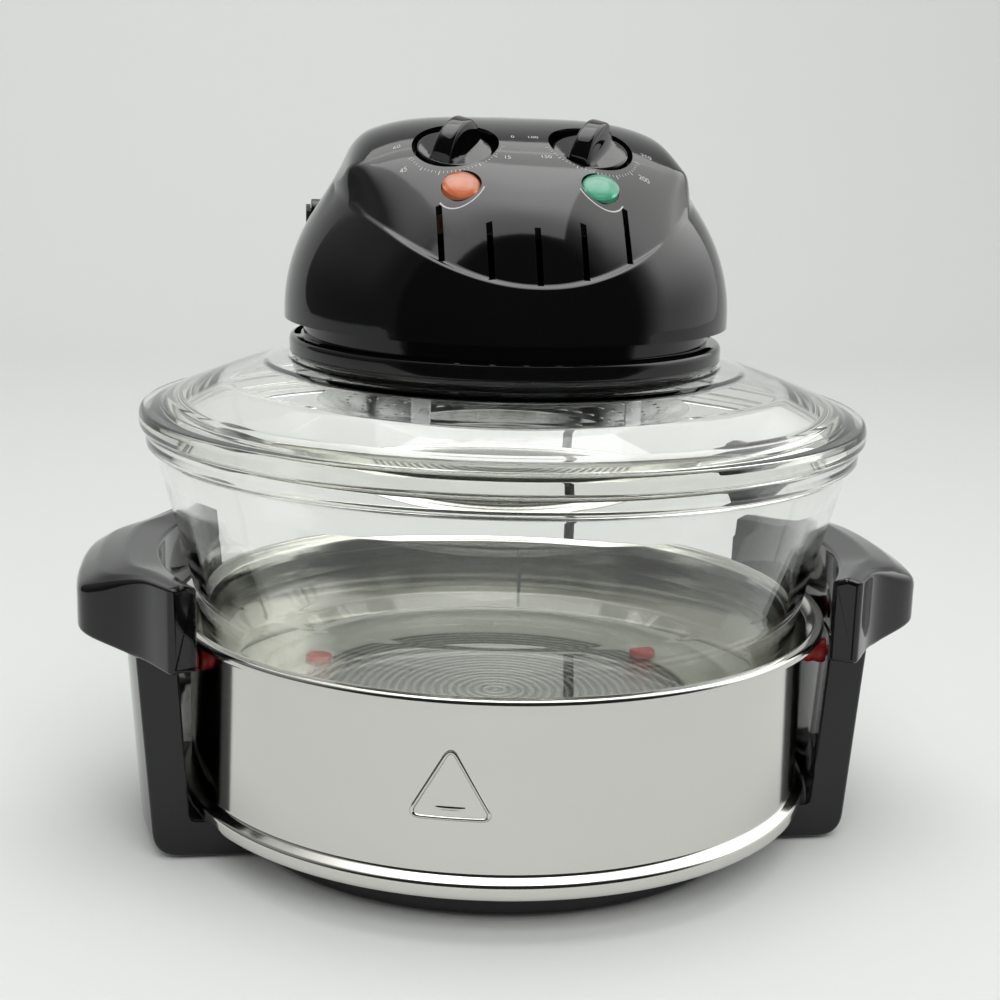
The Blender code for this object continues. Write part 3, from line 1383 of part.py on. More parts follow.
def make_top_cover():
    cover = turned("top_cover", dome_profile(0, DOME_EDGE), BIG_SIDES, "black_gloss")
    combine(cover, lofted("cover_column", CONSOLE_HALF - COLUMN_INSET, lambda x: column_section(x, 0)))
    console = lofted("console_outside", CONSOLE_HALF, lambda x: console_section(x, 0), CONSOLE_DRAFT_SHARE)
    combine(cover, console, "UNION")
    stub_end = BAIL_HALF_WIDTH - BAIL_THICKNESS / 2 - BAIL_EYE_BOSS - GAP
    stubs = rods(
        "hinge_stubs",
        BAIL_EYE_RADIUS,
        [((-stub_end, HINGE_Y, HINGE_Z), (stub_end, HINGE_Y, HINGE_Z))],
        MIDDLE_SIDES,
    )
    combine(cover, stubs, "UNION")
    combine(cover, cover_body("cover_inside", COVER_WALL, DOME_EDGE - OVERRUN))
    pins = [
        ((s * (stub_end - PIVOT_DEPTH - GAP), HINGE_Y, HINGE_Z), (s * (stub_end + OVERRUN), HINGE_Y, HINGE_Z))
        for s in (-1, 1)
    ]
    combine(cover, rods("pivot_holes", PIVOT_RADIUS + GAP, pins, SMALL_SIDES))
    bosses = rods(
        "cover_bosses",
        COVER_BOSS_RADIUS,
        [((x, y, WEB_TOP + GAP), (x, y, CONSOLE_TOP)) for x, y in cover_boss_places()],
        SMALL_SIDES,
    )
    middle = COVER_WALL / 2
    combine(bosses, cover_body("boss_trim", middle, DOME_EDGE - OVERRUN), "INTERSECT")
    combine(cover, bosses, "UNION")
    holes = [((x, y, WEB_TOP - OVERRUN), (x, y, WEB_TOP + 0.012)) for x, y in cover_boss_places()]
    combine(cover, rods("cover_boss_holes", SCREW_RADIUS + GAP, holes, SCREW_SIDES))
    for side, x in (("left", -KNOB_X), ("right", KNOB_X)):
        place = control_place(x, KNOB_Y, KNOB_TILT)
        floor = -POCKET_DEPTH - POCKET_WALL
        cup = placed_rod("pocket_cup_" + side, place, POCKET_RADIUS + POCKET_WALL, floor, -COVER_WALL, MIDDLE_SIDES)
        combine(cover, cup, "UNION")
        combine(cover, placed_rod("pocket_" + side, place, POCKET_RADIUS, -POCKET_DEPTH, POCKET_DEPTH, MIDDLE_SIDES))
        combine(
            cover,
            placed_rod(
                "shaft_hole_" + side, place, CONTROL_SHAFT_RADIUS + GAP, floor - OVERRUN, 0, SMALL_SIDES
            ),
        )
        lens = control_place(x, LENS_Y, LENS_TILT)
        combine(
            cover,
            placed_rod("lens_hole_" + side, lens, LENS_RADIUS + GAP, -3 * LENS_WALL, 3 * LENS_WALL, MIDDLE_SIDES),
        )
    slots = []
    for i in range(SLOT_COUNT):
        x = SLOT_PITCH * (i - (SLOT_COUNT - 1) / 2)
        crease, smile = console_front(x, 0)[-2:]
        low = (x - SLOT_WIDTH / 2, smile[0] - 2 * OVERRUN, smile[1] + OVERRUN / 2)
        high = (x + SLOT_WIDTH / 2, crease[0] + 3 * COVER_WALL, crease[1] + OVERRUN)
        slots.append((low, high))
    combine(cover, boxes("air_slots", slots))
    return cover


def make_controls():
    for side, x, low in (("timer", -KNOB_X, "amber"), ("thermostat", KNOB_X, "green")):
        place = control_place(x, KNOB_Y, KNOB_TILT)
        under = -POCKET_DEPTH - POCKET_WALL
        top = -KNOB_SINK
        bottom = top - KNOB_DISC
        edge = KNOB_DISC / 5
        knob = turned(
            side + "_knob",
            [
                (0, top),
                (KNOB_RADIUS - edge, top),
                (KNOB_RADIUS, top - edge),
                (KNOB_RADIUS, bottom),
                (0, bottom),
            ],
            MIDDLE_SIDES,
            "black_gloss",
        )
        grip_outline_points = [
            (KNOB_GRIP_HALF * math.cos(t), top - GAP + (KNOB_GRIP_RISE - top) * math.sin(t))
            for t in np.linspace(0, math.pi, 9)
        ]
        grip_outline_points += [(-KNOB_GRIP_HALF, bottom + GAP), (KNOB_GRIP_HALF, bottom + GAP)]
        grip = plate(side + "_knob_grip", grip_outline_points, KNOB_GRIP_WIDTH)
        grip.data.transform(Matrix.Rotation(math.radians(90), 4, "X"))
        grip.data.transform(Matrix.Translation((0, KNOB_GRIP_WIDTH / 2, 0)))
        turn = turned_about(90 + KNOB_TURN)
        grip.data.transform(turn)
        grip.matrix_world = place
        knob.matrix_world = place
        combine(knob, grip, "UNION")
        bore = placed_rod(
            side + "_knob_bore",
            place,
            CONTROL_SHAFT_RADIUS + GAP,
            bottom - OVERRUN,
            top - KNOB_SINK + GAP,
            SMALL_SIDES,
        )
        combine(knob, bore)
        placed_rod(
            side + "_shaft",
            place,
            CONTROL_SHAFT_RADIUS,
            -CONTROL_SHAFT_DEPTH,
            top - KNOB_SINK,
            SMALL_SIDES,
            "bright_metal",
        )
        half = CONTROL_UNIT_SIZE / 2
        unit_top = under - GAP
        unit = box(
            side + "_unit",
            (-half, -half, unit_top - CONTROL_UNIT_HEIGHT),
            (half, half, unit_top),
            "pale_plastic",
        )
        unit.matrix_world = place
        well = placed_rod(
            side + "_unit_well",
            place,
            CONTROL_SHAFT_RADIUS + GAP,
            -CONTROL_SHAFT_DEPTH - GAP,
            0,
            SMALL_SIDES,
        )
        combine(unit, well)
        lens_place = control_place(x, LENS_Y, LENS_TILT)
        crown = LENS_CROWN
        lens = turned(
            low + "_lens",
            [
                (0, 1.5 * crown),
                (0.45 * LENS_RADIUS, 1.35 * crown),
                (0.8 * LENS_RADIUS, 0.9 * crown),
                (LENS_RADIUS, 0),
                (LENS_RADIUS, -LENS_BARREL),
                (LAMP_RADIUS + GAP, -LENS_BARREL),
                (LAMP_RADIUS + GAP, -LENS_WALL),
                (0, -LENS_WALL),
            ],
            MIDDLE_SIDES,
            low,
        )
        lens.matrix_world = lens_place
        placed_rod(
            low + "_lamp",
            lens_place,
            LAMP_RADIUS,
            -LENS_WALL - GAP - LAMP_LENGTH,
            -LENS_WALL - GAP,
            SMALL_SIDES,
            "quartz",
        )


# Folding handle

def make_handle():
    shape = bmesh.new()
    half = BAIL_THICKNESS / 2
    wide = BAIL_WIDTH / 2
    rings = []
    for turn in np.linspace(-90, 90, 17):
        corners = ((-half, -wide), (half, -wide), (half, wide), (-half, wide))
        rings.append([shape.verts.new(bail_point(turn, across, up)) for across, up in corners])
    for near, far in zip(rings, rings[1:]):
        for k in range(4):
            n = (k + 1) % 4
            shape.faces.new((near[k], near[n], far[n], far[k]))
    shape.faces.new(list(reversed(rings[0])))
    shape.faces.new(rings[-1])
    hinge = Vector((0, HINGE_Y, HINGE_Z))
    bmesh.ops.translate(shape, verts=shape.verts, vec=-hinge)
    handle = from_bmesh("carry_handle", shape, "black_gloss")
    handle.location = hinge
    eye_inner = BAIL_HALF_WIDTH - half - BAIL_EYE_BOSS
    for s in (-1, 1):
        eye = rods(
            "handle_eye" + ("_left" if s < 0 else "_right"),
            BAIL_EYE_RADIUS,
            [((s * eye_inner, HINGE_Y, HINGE_Z), (s * (BAIL_HALF_WIDTH + half), HINGE_Y, HINGE_Z))],
            MIDDLE_SIDES,
        )
        combine(handle, eye, "UNION")
    inner = eye_inner - OVERRUN
    outer = BAIL_HALF_WIDTH + half + OVERRUN
    holes = [((s * inner, HINGE_Y, HINGE_Z), (s * outer, HINGE_Y, HINGE_Z)) for s in (-1, 1)]
    combine(handle, rods("handle_holes", PIVOT_RADIUS + GAP, holes, SMALL_SIDES))
    seat = BAIL_HALF_WIDTH + half + GAP
    stub_end = eye_inner - GAP
    depth = seat - stub_end + PIVOT_DEPTH
    for name, side in (("handle_pivot_left", -1), ("handle_pivot_right", 1)):
        pin = turned(
            name,
            [
                (0, seat + PIVOT_HEAD),
                (PIVOT_HEAD_RADIUS, seat + PIVOT_HEAD),
                (PIVOT_HEAD_RADIUS, seat),
                (PIVOT_RADIUS, seat),
                (PIVOT_RADIUS, seat - depth),
                (0, seat - depth),
            ],
            SMALL_SIDES,
            "bright_metal",
        )
        pin.rotation_euler.y = side * math.pi / 2
        pin.location = hinge
    boss_face = COVER_BOSS_RADIUS * math.cos(math.pi / SMALL_SIDES)
    switch_back = COVER_BOSS_Y - boss_face - GAP
    half = SWITCH_WIDTH / 2
    box(
        "safety_switch",
        (-COVER_BOSS_X - half, switch_back - SWITCH_DEPTH, HINGE_Z - SWITCH_HEIGHT / 2),
        (-COVER_BOSS_X + half, switch_back, HINGE_Z + SWITCH_HEIGHT / 2),
        "pale_plastic",
    )


# Cord

def cord_point(across, out, height=CORD_EXIT_HEIGHT):
    """A point beside the cord's upright plane: across it, and out from the flange's edge."""
    angle = math.radians(CORD_TURN)
    away = Vector((math.cos(angle), math.sin(angle), 0))
    aside = Vector((math.sin(angle), -math.cos(angle), 0))
    return away * (FLANGE_RADIUS + out) + aside * across + Vector((0, 0, height))


def smooth_line(points, spacing):
    """Points read at even steps from a smooth curve through the given ones."""
    given = [Vector(p) for p in points]
    given = [2 * given[0] - given[1], *given, 2 * given[-1] - given[-2]]
    fine = []
    for a, b, c, d in zip(given, given[1:], given[2:], given[3:]):
        for i in range(20):
            t = i / 20
            fine.append(
                0.5 * (2 * b + (c - a) * t + (2 * a - 5 * b + 4 * c - d) * t * t + (3 * b - a - 3 * c + d) * t ** 3)
            )
    fine.append(given[-2])
    along = np.concatenate([[0], np.cumsum([(q - p).length for p, q in zip(fine, fine[1:])])])
    count = max(2, round(along[-1] / spacing))
    line = np.array([tuple(p) for p in fine])
    at = np.linspace(0, along[-1], count + 1)
    return [Vector([np.interp(s, along, line[:, k]) for k in range(3)]) for s in at]


def landing_point():
    """Where the lead hangs straight down behind the lid, seen from above."""
    return cord_point(0, CORD_STRAIGHT + CORD_BEND, 0)


def hank_point(loops):
    """A point of the hank after a number of loops, counted from the tie on the oven's side.

    A loop is two runs drawn in to a waist and two half round folds. It lies flat on the one below, and
    climbs to the next layer on its far run, so the ends leave it level.
    """
    run, fold = HANK_RUN, HANK_FOLD
    bend = math.pi * fold
    whole = 4 * run + 2 * bend
    count = math.floor(loops)
    along = (loops - count) * whole
    if along < run or along > whole - run:
        u = along if along < run else along - whole
        across = -run_offset(abs(u))
    elif along < run + bend:
        turn = (along - run) / fold
        u, across = run + fold * math.sin(turn), -fold * math.cos(turn)
    elif along < 3 * run + bend:
        u = 2 * run + bend - along
        across = run_offset(abs(u))
    else:
        turn = (along - 3 * run - bend) / fold
        u, across = -run - fold * math.sin(turn), fold * math.cos(turn)
    climb = max(0, min(1, (loops - count - 0.3) / 0.4))
    climb = climb * climb * (3 - 2 * climb)
    middle = landing_point().y + HANK_FOLD
    return Vector((HANK_X + u, middle + across, HANK_FLOOR + HANK_PITCH * (count + climb)))


def run_offset(along):
    """Distance of a run from the hank's middle line, from the waist out to the fold."""
    return HANK_WAIST + (HANK_FOLD - HANK_WAIST) * (1 - math.cos(math.pi * along / HANK_RUN)) / 2


def hank_line():
    start, end = -HANK_LEAD_TURN, HANK_LAYERS + HANK_LEAD_TURN
    count = round((end - start) * HANK_LOOP_POINTS)
    turns = [start + (end - start) * i / count for i in range(count + 1)]
    line = [hank_point(t) for t in turns]
    diameter = 2 * CORD_RADIUS
    way_in, way_out = Vector((1, 0, 0)), Vector((-1, 0, 0))
    return [line[0] + way_out * diameter, *line, line[-1] + way_in * diameter], way_in, way_out


def line_length(points):
    return sum((b - a).length for a, b in zip(points, points[1:]))


def make_cord():
    relief_end = RELIEF_LENGTH
    seat_radius = RELIEF_ROOT_RADIUS - RELIEF_SEAT_STEP
    relief = turned(
        "strain_relief",
        [
            (0, relief_end),
            (RELIEF_TIP_RADIUS, relief_end),
            (RELIEF_ROOT_RADIUS, GAP),
            (seat_radius, GAP),
            (seat_radius, -RELIEF_SEAT),
            (0, -RELIEF_SEAT),
        ],
        SMALL_SIDES,
        "rubber",
    )
    away = cord_point(0, 1, 0) - cord_point(0, 0, 0)
    relief.matrix_world = Matrix.Translation(cord_point(0, 0)) @ away.to_track_quat("Z", "Y").to_matrix().to_4x4()
    hank, way_in, way_out = hank_line()
    start = relief_end + GAP
    over = [
        cord_point(0, CORD_STRAIGHT + CORD_BEND * math.sin(t), CORD_EXIT_HEIGHT - CORD_BEND * (1 - math.cos(t)))
        for t in np.radians(np.linspace(0, 90, 6))
    ]
    land = landing_point()
    top = hank[-1] + way_in * GAP
    foot = top.z + CORD_LAND_BEND
    turn_in = [
        Vector((
            land.x - CORD_LAND_BEND * (1 - math.cos(t)),
            land.y + (top.y - land.y) * math.sin(t),
            foot - CORD_LAND_BEND * math.sin(t),
        ))
        for t in np.radians(np.linspace(0, 90, 5))
    ]
    fall = [Vector((land.x, land.y, foot + (over[-1].z - foot) * s)) for s in (0.8, 0.6, 0.4, 0.2)]
    lead = smooth_line([cord_point(0, start), *over, *fall, *turn_in, top], 0.0125)
    tube("cord_lead", lead, CORD_RADIUS, 2, "rubber")
    tube("cord_hank", hank, CORD_RADIUS, 1, "rubber")
    bottom = hank[0] + way_out * GAP
    plug_top = bottom + way_out * TAIL_LENGTH
    plug_top.z = PLUG_RADIUS + GAP
    bend_share = 0.3
    tail_route = [
        bottom,
        bottom + way_out * bend_share * TAIL_LENGTH,
        plug_top - way_out * bend_share * TAIL_LENGTH,
        plug_top,
    ]
    tail = smooth_line(tail_route, 0.006)
    tube("cord_tail", tail, CORD_RADIUS, 2, "rubber")
    skip = HANK_LOOP_POINTS // 2 - 3
    print("hank gap mm", round(1000 * least_gap(hank, 2 * CORD_RADIUS, skip), 2))
    print("cord length m", round(line_length(lead) + line_length(hank) + line_length(tail), 3))
    make_tie()
    make_plug(plug_top + way_out * GAP)


def make_tie():
    half_width = HANK_WAIST + CORD_RADIUS + 2 * TIE_EASE
    low = HANK_FLOOR - CORD_RADIUS - TIE_EASE
    high = HANK_FLOOR + HANK_PITCH * HANK_LAYERS + CORD_RADIUS + TIE_EASE
    middle = landing_point().y + HANK_FOLD

    def band(name, grow, thickness, finish=None):
        corner = CORD_RADIUS + grow
        left, right = middle - half_width - grow, middle + half_width + grow
        outline = []
        for cx, cy, start in (
            (right - corner, low - grow + corner, -90),
            (right - corner, high + grow - corner, 0),
            (left + corner, high + grow - corner, 90),
            (left + corner, low - grow + corner, 180),
        ):
            outline += arc((cx, cy), corner, start, start + 90, 4)
        made = plate(name, outline, thickness, finish)
        stand_up = Matrix(((0, 0, 1), (1, 0, 0), (0, 1, 0))).to_4x4()
        made.data.transform(Matrix.Translation((HANK_X - thickness / 2, 0, 0)) @ stand_up)
        return made

    tie = band("cord_tie", TIE_SHEET, TIE_WIDTH, "black_satin")
    combine(tie, band("tie_inside", 0, TIE_WIDTH + 2 * OVERRUN))


def make_plug(top):
    neck = PLUG_LENGTH / 3
    body = turned(
        "plug_body",
        [
            (0, 0),
            (PLUG_NECK_RADIUS, 0),
            (PLUG_NECK_RADIUS + GAP, -0.6 * neck),
            (PLUG_RADIUS, -neck),
            (PLUG_RADIUS, GAP - PLUG_LENGTH),
            (PLUG_RADIUS - GAP, -PLUG_LENGTH),
            (0, -PLUG_LENGTH),
        ],
        MIDDLE_SIDES,
        "rubber",
    )
    body.rotation_euler.y = math.pi / 2
    body.location = top
    ahead = Vector((-1, 0, 0))
    wells = []
    for name, side in (("plug_pin_left", -1), ("plug_pin_right", 1)):
        face = top + Vector((0, PIN_OFFSET * side, 0)) + ahead * PLUG_LENGTH
        rods(name, PIN_RADIUS, [(face - ahead * PIN_SEAT, face + ahead * PIN_LENGTH)], SMALL_SIDES, "bright_metal")
        wells.append((face - ahead * (PIN_SEAT + GAP), face + ahead * OVERRUN))
    combine(body, rods("pin_wells", PIN_RADIUS + GAP, wells, SMALL_SIDES))


make_cradle()
make_base_cover()
make_feet()
make_shell()
make_floor_plate()
make_pads()
make_spacers()
make_grip("grip_right", 1)
make_grip("grip_left", -1)
make_bowl()
make_lid()
make_flange()
make_gasket()
make_reflector()
make_quartz_tube()
make_coil()
make_holders()
make_guard()
make_brackets()
make_rotor()
make_motor()
make_top_cover()
make_controls()
make_handle()
make_cord()
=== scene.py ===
import json
import math

import bmesh
import bpy
import numpy as np
from mathutils import Matrix, Vector


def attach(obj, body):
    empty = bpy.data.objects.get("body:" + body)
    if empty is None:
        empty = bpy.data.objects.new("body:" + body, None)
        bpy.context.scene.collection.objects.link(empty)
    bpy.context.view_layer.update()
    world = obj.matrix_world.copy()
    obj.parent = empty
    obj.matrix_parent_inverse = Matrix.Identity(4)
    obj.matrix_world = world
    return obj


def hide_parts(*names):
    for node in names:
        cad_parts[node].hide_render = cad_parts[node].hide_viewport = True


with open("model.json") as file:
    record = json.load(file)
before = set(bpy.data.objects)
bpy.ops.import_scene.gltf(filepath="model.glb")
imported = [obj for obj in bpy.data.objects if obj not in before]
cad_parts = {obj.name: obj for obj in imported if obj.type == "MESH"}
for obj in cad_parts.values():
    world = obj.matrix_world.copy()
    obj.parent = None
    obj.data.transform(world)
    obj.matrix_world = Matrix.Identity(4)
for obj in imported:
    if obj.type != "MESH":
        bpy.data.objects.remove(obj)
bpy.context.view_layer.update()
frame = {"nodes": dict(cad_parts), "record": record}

# the oven stands on z = 0, its dials face -Y, and everything is in metres
nodes = frame["nodes"]
tau = 2 * math.pi


# points, sections and meshes

def stacked(x, y, z):
    # three coordinates of matching shapes as one array of points
    return np.stack(np.broadcast_arrays(x, y, z), axis=-1)


def around(radius, angle, height):
    # points about the upright axis: (radius cos angle, radius sin angle, height)
    return stacked(radius * np.cos(angle), radius * np.sin(angle), height)


def easeStep(x, low, high):
    # 0 below low, 1 above high, and t^2 (3 - 2 t) between them
    t = np.clip((x - low) / (high - low), 0, 1)
    return t * t * (3 - 2 * t)


def roundedLine(corners, closed=True, steps=5):
    # corners are (radius, height, rounding): each becomes a quadratic curve,
    # (1 - t)^2 start + 2 t (1 - t) corner + t^2 end, as long on both sides as an arc of that rounding
    out = []
    count = len(corners)
    for i, (x, y, size) in enumerate(corners):
        here = np.array([x, y])
        atEnd = not closed and i in (0, count - 1)
        if size <= 0 or atEnd:
            out.append(here)
            continue
        before = np.array(corners[i - 1][:2]) - here
        after = np.array(corners[(i + 1) % count][:2]) - here
        lengthBefore, lengthAfter = np.linalg.norm(before), np.linalg.norm(after)
        before, after = before / lengthBefore, after / lengthAfter
        half = math.acos(max(-1, min(1, float(before @ after)))) / 2
        reach = min(size / math.tan(half), 0.49 * lengthBefore, 0.49 * lengthAfter)
        start, end = here + before * reach, here + after * reach
        t = np.linspace(0, 1, steps + 1)[:, None]
        out.extend((1 - t) ** 2 * start + 2 * t * (1 - t) * here + t ** 2 * end)
    return np.array(out)


def sheetLine(outer, thickness, steps=5):
    # a sheet's section: the outer line, then the same line moved inwards, back to the start
    line = roundedLine(outer, False, steps)
    step = np.gradient(line, axis=0)
    normal = np.stack([step[:, 1], -step[:, 0]], axis=1)
    normal /= np.linalg.norm(normal, axis=1)[:, None]
    return np.concatenate([line, (line + normal * thickness)[::-1]])


def shrunk(lines, inset):
    # moves each row's closed section inwards, along its own normals, by the row's inset
    step = np.roll(lines, -1, axis=1) - np.roll(lines, 1, axis=1)
    normal = np.stack([step[..., 1], -step[..., 0]], axis=-1)
    normal /= np.linalg.norm(normal, axis=-1)[..., None] + 1e-12
    if ((lines - lines.mean(axis=1, keepdims=True)) * normal).sum() < 0:
        normal = -normal
    return lines - normal * inset[:, None, None]


def roundedEnds(span, edge, steps=6, middle=14):
    # places from -span to span, each end a quarter turn of the edge, and the inset that rounds it:
    # span - edge (1 - sin t) and edge (1 - cos t)
    t = np.linspace(0, math.pi / 2, steps + 1)
    ends = span - edge + edge * np.sin(t)
    insets = edge * (1 - np.cos(t))
    inner = np.linspace(-(span - edge), span - edge, middle + 1)[1:-1]
    return np.concatenate([-ends[::-1], inner, ends]), np.concatenate([insets[::-1], 0 * inner, insets])


def addPiece(name, data, material=None):
    # a new object at the origin, linked to the scene
    piece = bpy.data.objects.new(name, data)
    bpy.context.scene.collection.objects.link(piece)
    if material:
        data.materials.append(material)
    return piece


def shaded(piece, sharp):
    # smooth shading, with edges sharper than the angle kept hard
    piece.data.shade_smooth()
    piece.data.set_sharp_from_angle(angle=math.radians(sharp))
    return piece


def reworked(mesh, change, source=None):
    # opens the source's faces for editing, lets change edit them and puts them into the mesh
    work = bmesh.new()
    work.from_mesh(source or mesh)
    change(work)
    work.to_mesh(mesh)
    work.free()
    return mesh


def gridMesh(name, points, wrapAround=True, wrapAlong=False):
    # points[i, j] is row i, column j of the surface; quads join each row to the next,
    # and rows or columns close on themselves where wrapAlong or wrapAround says so
    rows, columns = points.shape[:2]
    index = np.arange(rows * columns).reshape(rows, columns)
    if wrapAround:
        index = np.concatenate([index, index[:, :1]], axis=1)
    if wrapAlong:
        index = np.concatenate([index, index[:1]], axis=0)
    a, b, c, d = index[:-1, :-1], index[:-1, 1:], index[1:, 1:], index[1:, :-1]
    quads = np.stack([a, d, c, b], axis=-1).reshape(-1, 4)
    mesh = bpy.data.meshes.new(name)
    mesh.vertices.add(rows * columns)
    mesh.vertices.foreach_set("co", points.reshape(-1).astype(np.float32))
    mesh.loops.add(quads.size)
    mesh.loops.foreach_set("vertex_index", quads.reshape(-1).astype(np.int32))
    mesh.polygons.add(len(quads))
    mesh.polygons.foreach_set("loop_start", np.arange(0, quads.size, 4, dtype=np.int32))
    mesh.update(calc_edges=True)
    return mesh


def finishMesh(name, mesh, material, sharp=35, weld=0.000002):
    # merges poles and seams, turns the faces outwards and shades them smooth
    def clean(work):
        bmesh.ops.remove_doubles(work, verts=work.verts, dist=weld)
        bmesh.ops.dissolve_degenerate(work, edges=work.edges, dist=weld)
        bmesh.ops.recalc_face_normals(work, faces=work.faces)

    return shaded(addPiece(name, reworked(mesh, clean), material), sharp)


def turned(name, line, material, sides=192, sharp=35, closed=True):
    # turned surface: (radius, height) -> (radius cos a, radius sin a, height)
    line = np.asarray(line)
    points = around(line[:, :1], np.linspace(0, tau, sides, endpoint=False), line[:, 1:])
    return finishMesh(name, gridMesh(name, points, True, closed), material, sharp)


def closedLoft(name, points, material, sharp=35):
    # a run of closed sections, both ends filled with one face each
    rows, columns = points.shape[:2]

    def fillEnds(work):
        work.verts.ensure_lookup_table()
        for start in (0, (rows - 1) * columns):
            work.faces.new(work.verts[start:start + columns])

    return finishMesh(name, reworked(gridMesh(name, points), fillEnds), material, sharp)


def boxPiece(name, low, high):
    # a closed box between its lowest and highest corners
    x, y, z = zip(low, high)
    mesh = bpy.data.meshes.new(name)
    corners = [(x[i], y[j], z[k]) for i in (0, 1) for j in (0, 1) for k in (0, 1)]
    faces = [(0, 1, 3, 2), (4, 6, 7, 5), (0, 4, 5, 1), (2, 3, 7, 6), (0, 2, 6, 4), (1, 5, 7, 3)]
    mesh.from_pydata(corners, [], faces)
    return addPiece(name, mesh)


def copyOfNode(node, name, material):
    # a merged copy of a CAD node, for pieces whose shape is already right
    def merge(work):
        bmesh.ops.remove_doubles(work, verts=work.verts, dist=0.00001)
        bmesh.ops.dissolve_limit(work, angle_limit=math.radians(1), verts=work.verts, edges=work.edges)

    return addPiece(name, reworked(bpy.data.meshes.new(name), merge, nodes[node].data), material)


def joined(name, pieces):
    # one mesh from several separate closed ones
    work = bmesh.new()
    for piece in pieces:
        work.from_mesh(piece.data)
        bpy.data.objects.remove(piece)
    mesh = bpy.data.meshes.new(name)
    work.to_mesh(mesh)
    work.free()
    return addPiece(name, mesh)


def place(piece, matrix):
    # moves the mesh itself, so that the object stays at the origin
    piece.data.transform(matrix)
    return piece


def modified(piece, kind, **settings):
    # adds one modifier with its settings and makes its result the mesh
    step = piece.modifiers.new(kind, kind)
    for key, value in settings.items():
        setattr(step, key, value)
    bpy.context.view_layer.update()
    ready = piece.evaluated_get(bpy.context.evaluated_depsgraph_get())
    mesh = bpy.data.meshes.new_from_object(ready)
    piece.modifiers.clear()
    piece.data = mesh
    return piece


def cut(piece, cutter, operation="DIFFERENCE"):
    # takes the cutter out of the piece, or adds it to the piece with UNION
    modified(piece, "BOOLEAN", operation=operation, object=cutter, solver="EXACT")
    bpy.data.objects.remove(cutter)


def bevelled(piece, width, segments=2, angle=35):
    # rounds every edge sharper than the angle by the width
    limit = math.radians(angle)
    modified(piece, "BEVEL", width=width, segments=segments, limit_method="ANGLE", angle_limit=limit)
    return shaded(piece, 50)


def weighted(piece, sharp):
    # after a cut: large flat faces keep their own normals, the rounded edges blend into them
    modified(shaded(piece, sharp), "WEIGHTED_NORMAL", keep_sharp=True, weight=80)


def belongs(piece, body, slot, *replaced):
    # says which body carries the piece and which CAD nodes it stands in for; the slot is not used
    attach(piece, body)
    if replaced:
        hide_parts(*replaced)


# materials

def feed(tree, node, given):
    # gives each input its value, or a link where a socket is given; a colour gets its fourth value here
    for key, value in given.items():
        if isinstance(value, bpy.types.NodeSocket):
            tree.links.new(value, node.inputs[key])
        else:
            node.inputs[key].default_value = (*value, 1) if isinstance(value, tuple) else value


def addNode(tree, kind, given=(), **settings):
    # one shader node: its settings first, then what its inputs are given
    node = tree.nodes.new("ShaderNode" + kind)
    for key, value in settings.items():
        setattr(node, key, value)
    feed(tree, node, dict(given))
    return node


def maths(tree, kind, *given):
    return addNode(tree, "Math", enumerate(given), operation=kind).outputs[0]


def mixed(tree, share, first, second):
    return addNode(tree, "Mix", {"Factor": share, 6: first, 7: second}, data_type="RGBA").outputs[2]


def cloudy(tree, where, scale, detail):
    # soft noise from 0 to 1
    return addNode(tree, "TexNoise", {"Vector": where, "Scale": scale, "Detail": detail}).outputs["Fac"]


def bumped(tree, height, strength, distance):
    return addNode(tree, "Bump", {"Height": height, "Strength": strength, "Distance": distance}).outputs[0]


def ramped(tree, value, low, high, most=1.0):
    # rises smoothly from 0 where the value is low to its most where the value is high
    ends = {"Value": value, "From Min": low, "From Max": high, "To Max": most}
    return addNode(tree, "MapRange", ends, interpolation_type="SMOOTHSTEP").outputs["Result"]


def ownPlace(tree):
    # the Object coordinates, then x, y, z and the distance from the axis, sqrt(x^2 + y^2)
    where = addNode(tree, "TexCoord").outputs["Object"]
    x, y, z = addNode(tree, "SeparateXYZ", {0: where}).outputs
    square = maths(tree, "ADD", maths(tree, "MULTIPLY", x, x), maths(tree, "MULTIPLY", y, y))
    return where, x, y, z, maths(tree, "SQRT", square)


def newMaterial(name, colour, roughness, **more):
    # a plain material; more holds other inputs of its shader, with _ for each space
    material = bpy.data.materials.new(name)
    material.use_nodes = True
    tree = material.node_tree
    shader = tree.nodes["Principled BSDF"]
    feed(tree, shader, {"Base Color": colour, "Roughness": roughness})
    feed(tree, shader, {key.replace("_", " "): value for key, value in more.items()})
    return material, tree, shader


def finishGroup():
    # one group for every moulded or drawn surface: cloudy colour, cloudy roughness, fine bump
    group = bpy.data.node_groups.new("surfaceFinish", "ShaderNodeTree")
    for way, kind, names in (
        ("INPUT", "Color", ("Colour", "Second Colour")),
        ("INPUT", "Float", ("Roughness", "Roughness Spread", "Cloud Scale", "Grain Scale", "Grain Height")),
        ("OUTPUT", "Color", ("Colour",)),
        ("OUTPUT", "Float", ("Roughness",)),
        ("OUTPUT", "Vector", ("Normal",)),
    ):
        for name in names:
            group.interface.new_socket(name=name, in_out=way, socket_type="NodeSocket" + kind)
    given = group.nodes.new("NodeGroupInput").outputs
    where = addNode(group, "TexCoord").outputs["Object"]
    cloud = cloudy(group, where, given["Cloud Scale"], 4)
    grain = cloudy(group, where, given["Grain Scale"], 2)
    feed(group, group.nodes.new("NodeGroupOutput"), {
        "Colour": mixed(group, cloud, given["Colour"], given["Second Colour"]),
        "Roughness": maths(group, "MULTIPLY_ADD", cloud, given["Roughness Spread"], given["Roughness"]),
        "Normal": bumped(group, grain, given["Grain Height"], 0.0002),
    })
    return group


surfaceFinish = finishGroup()


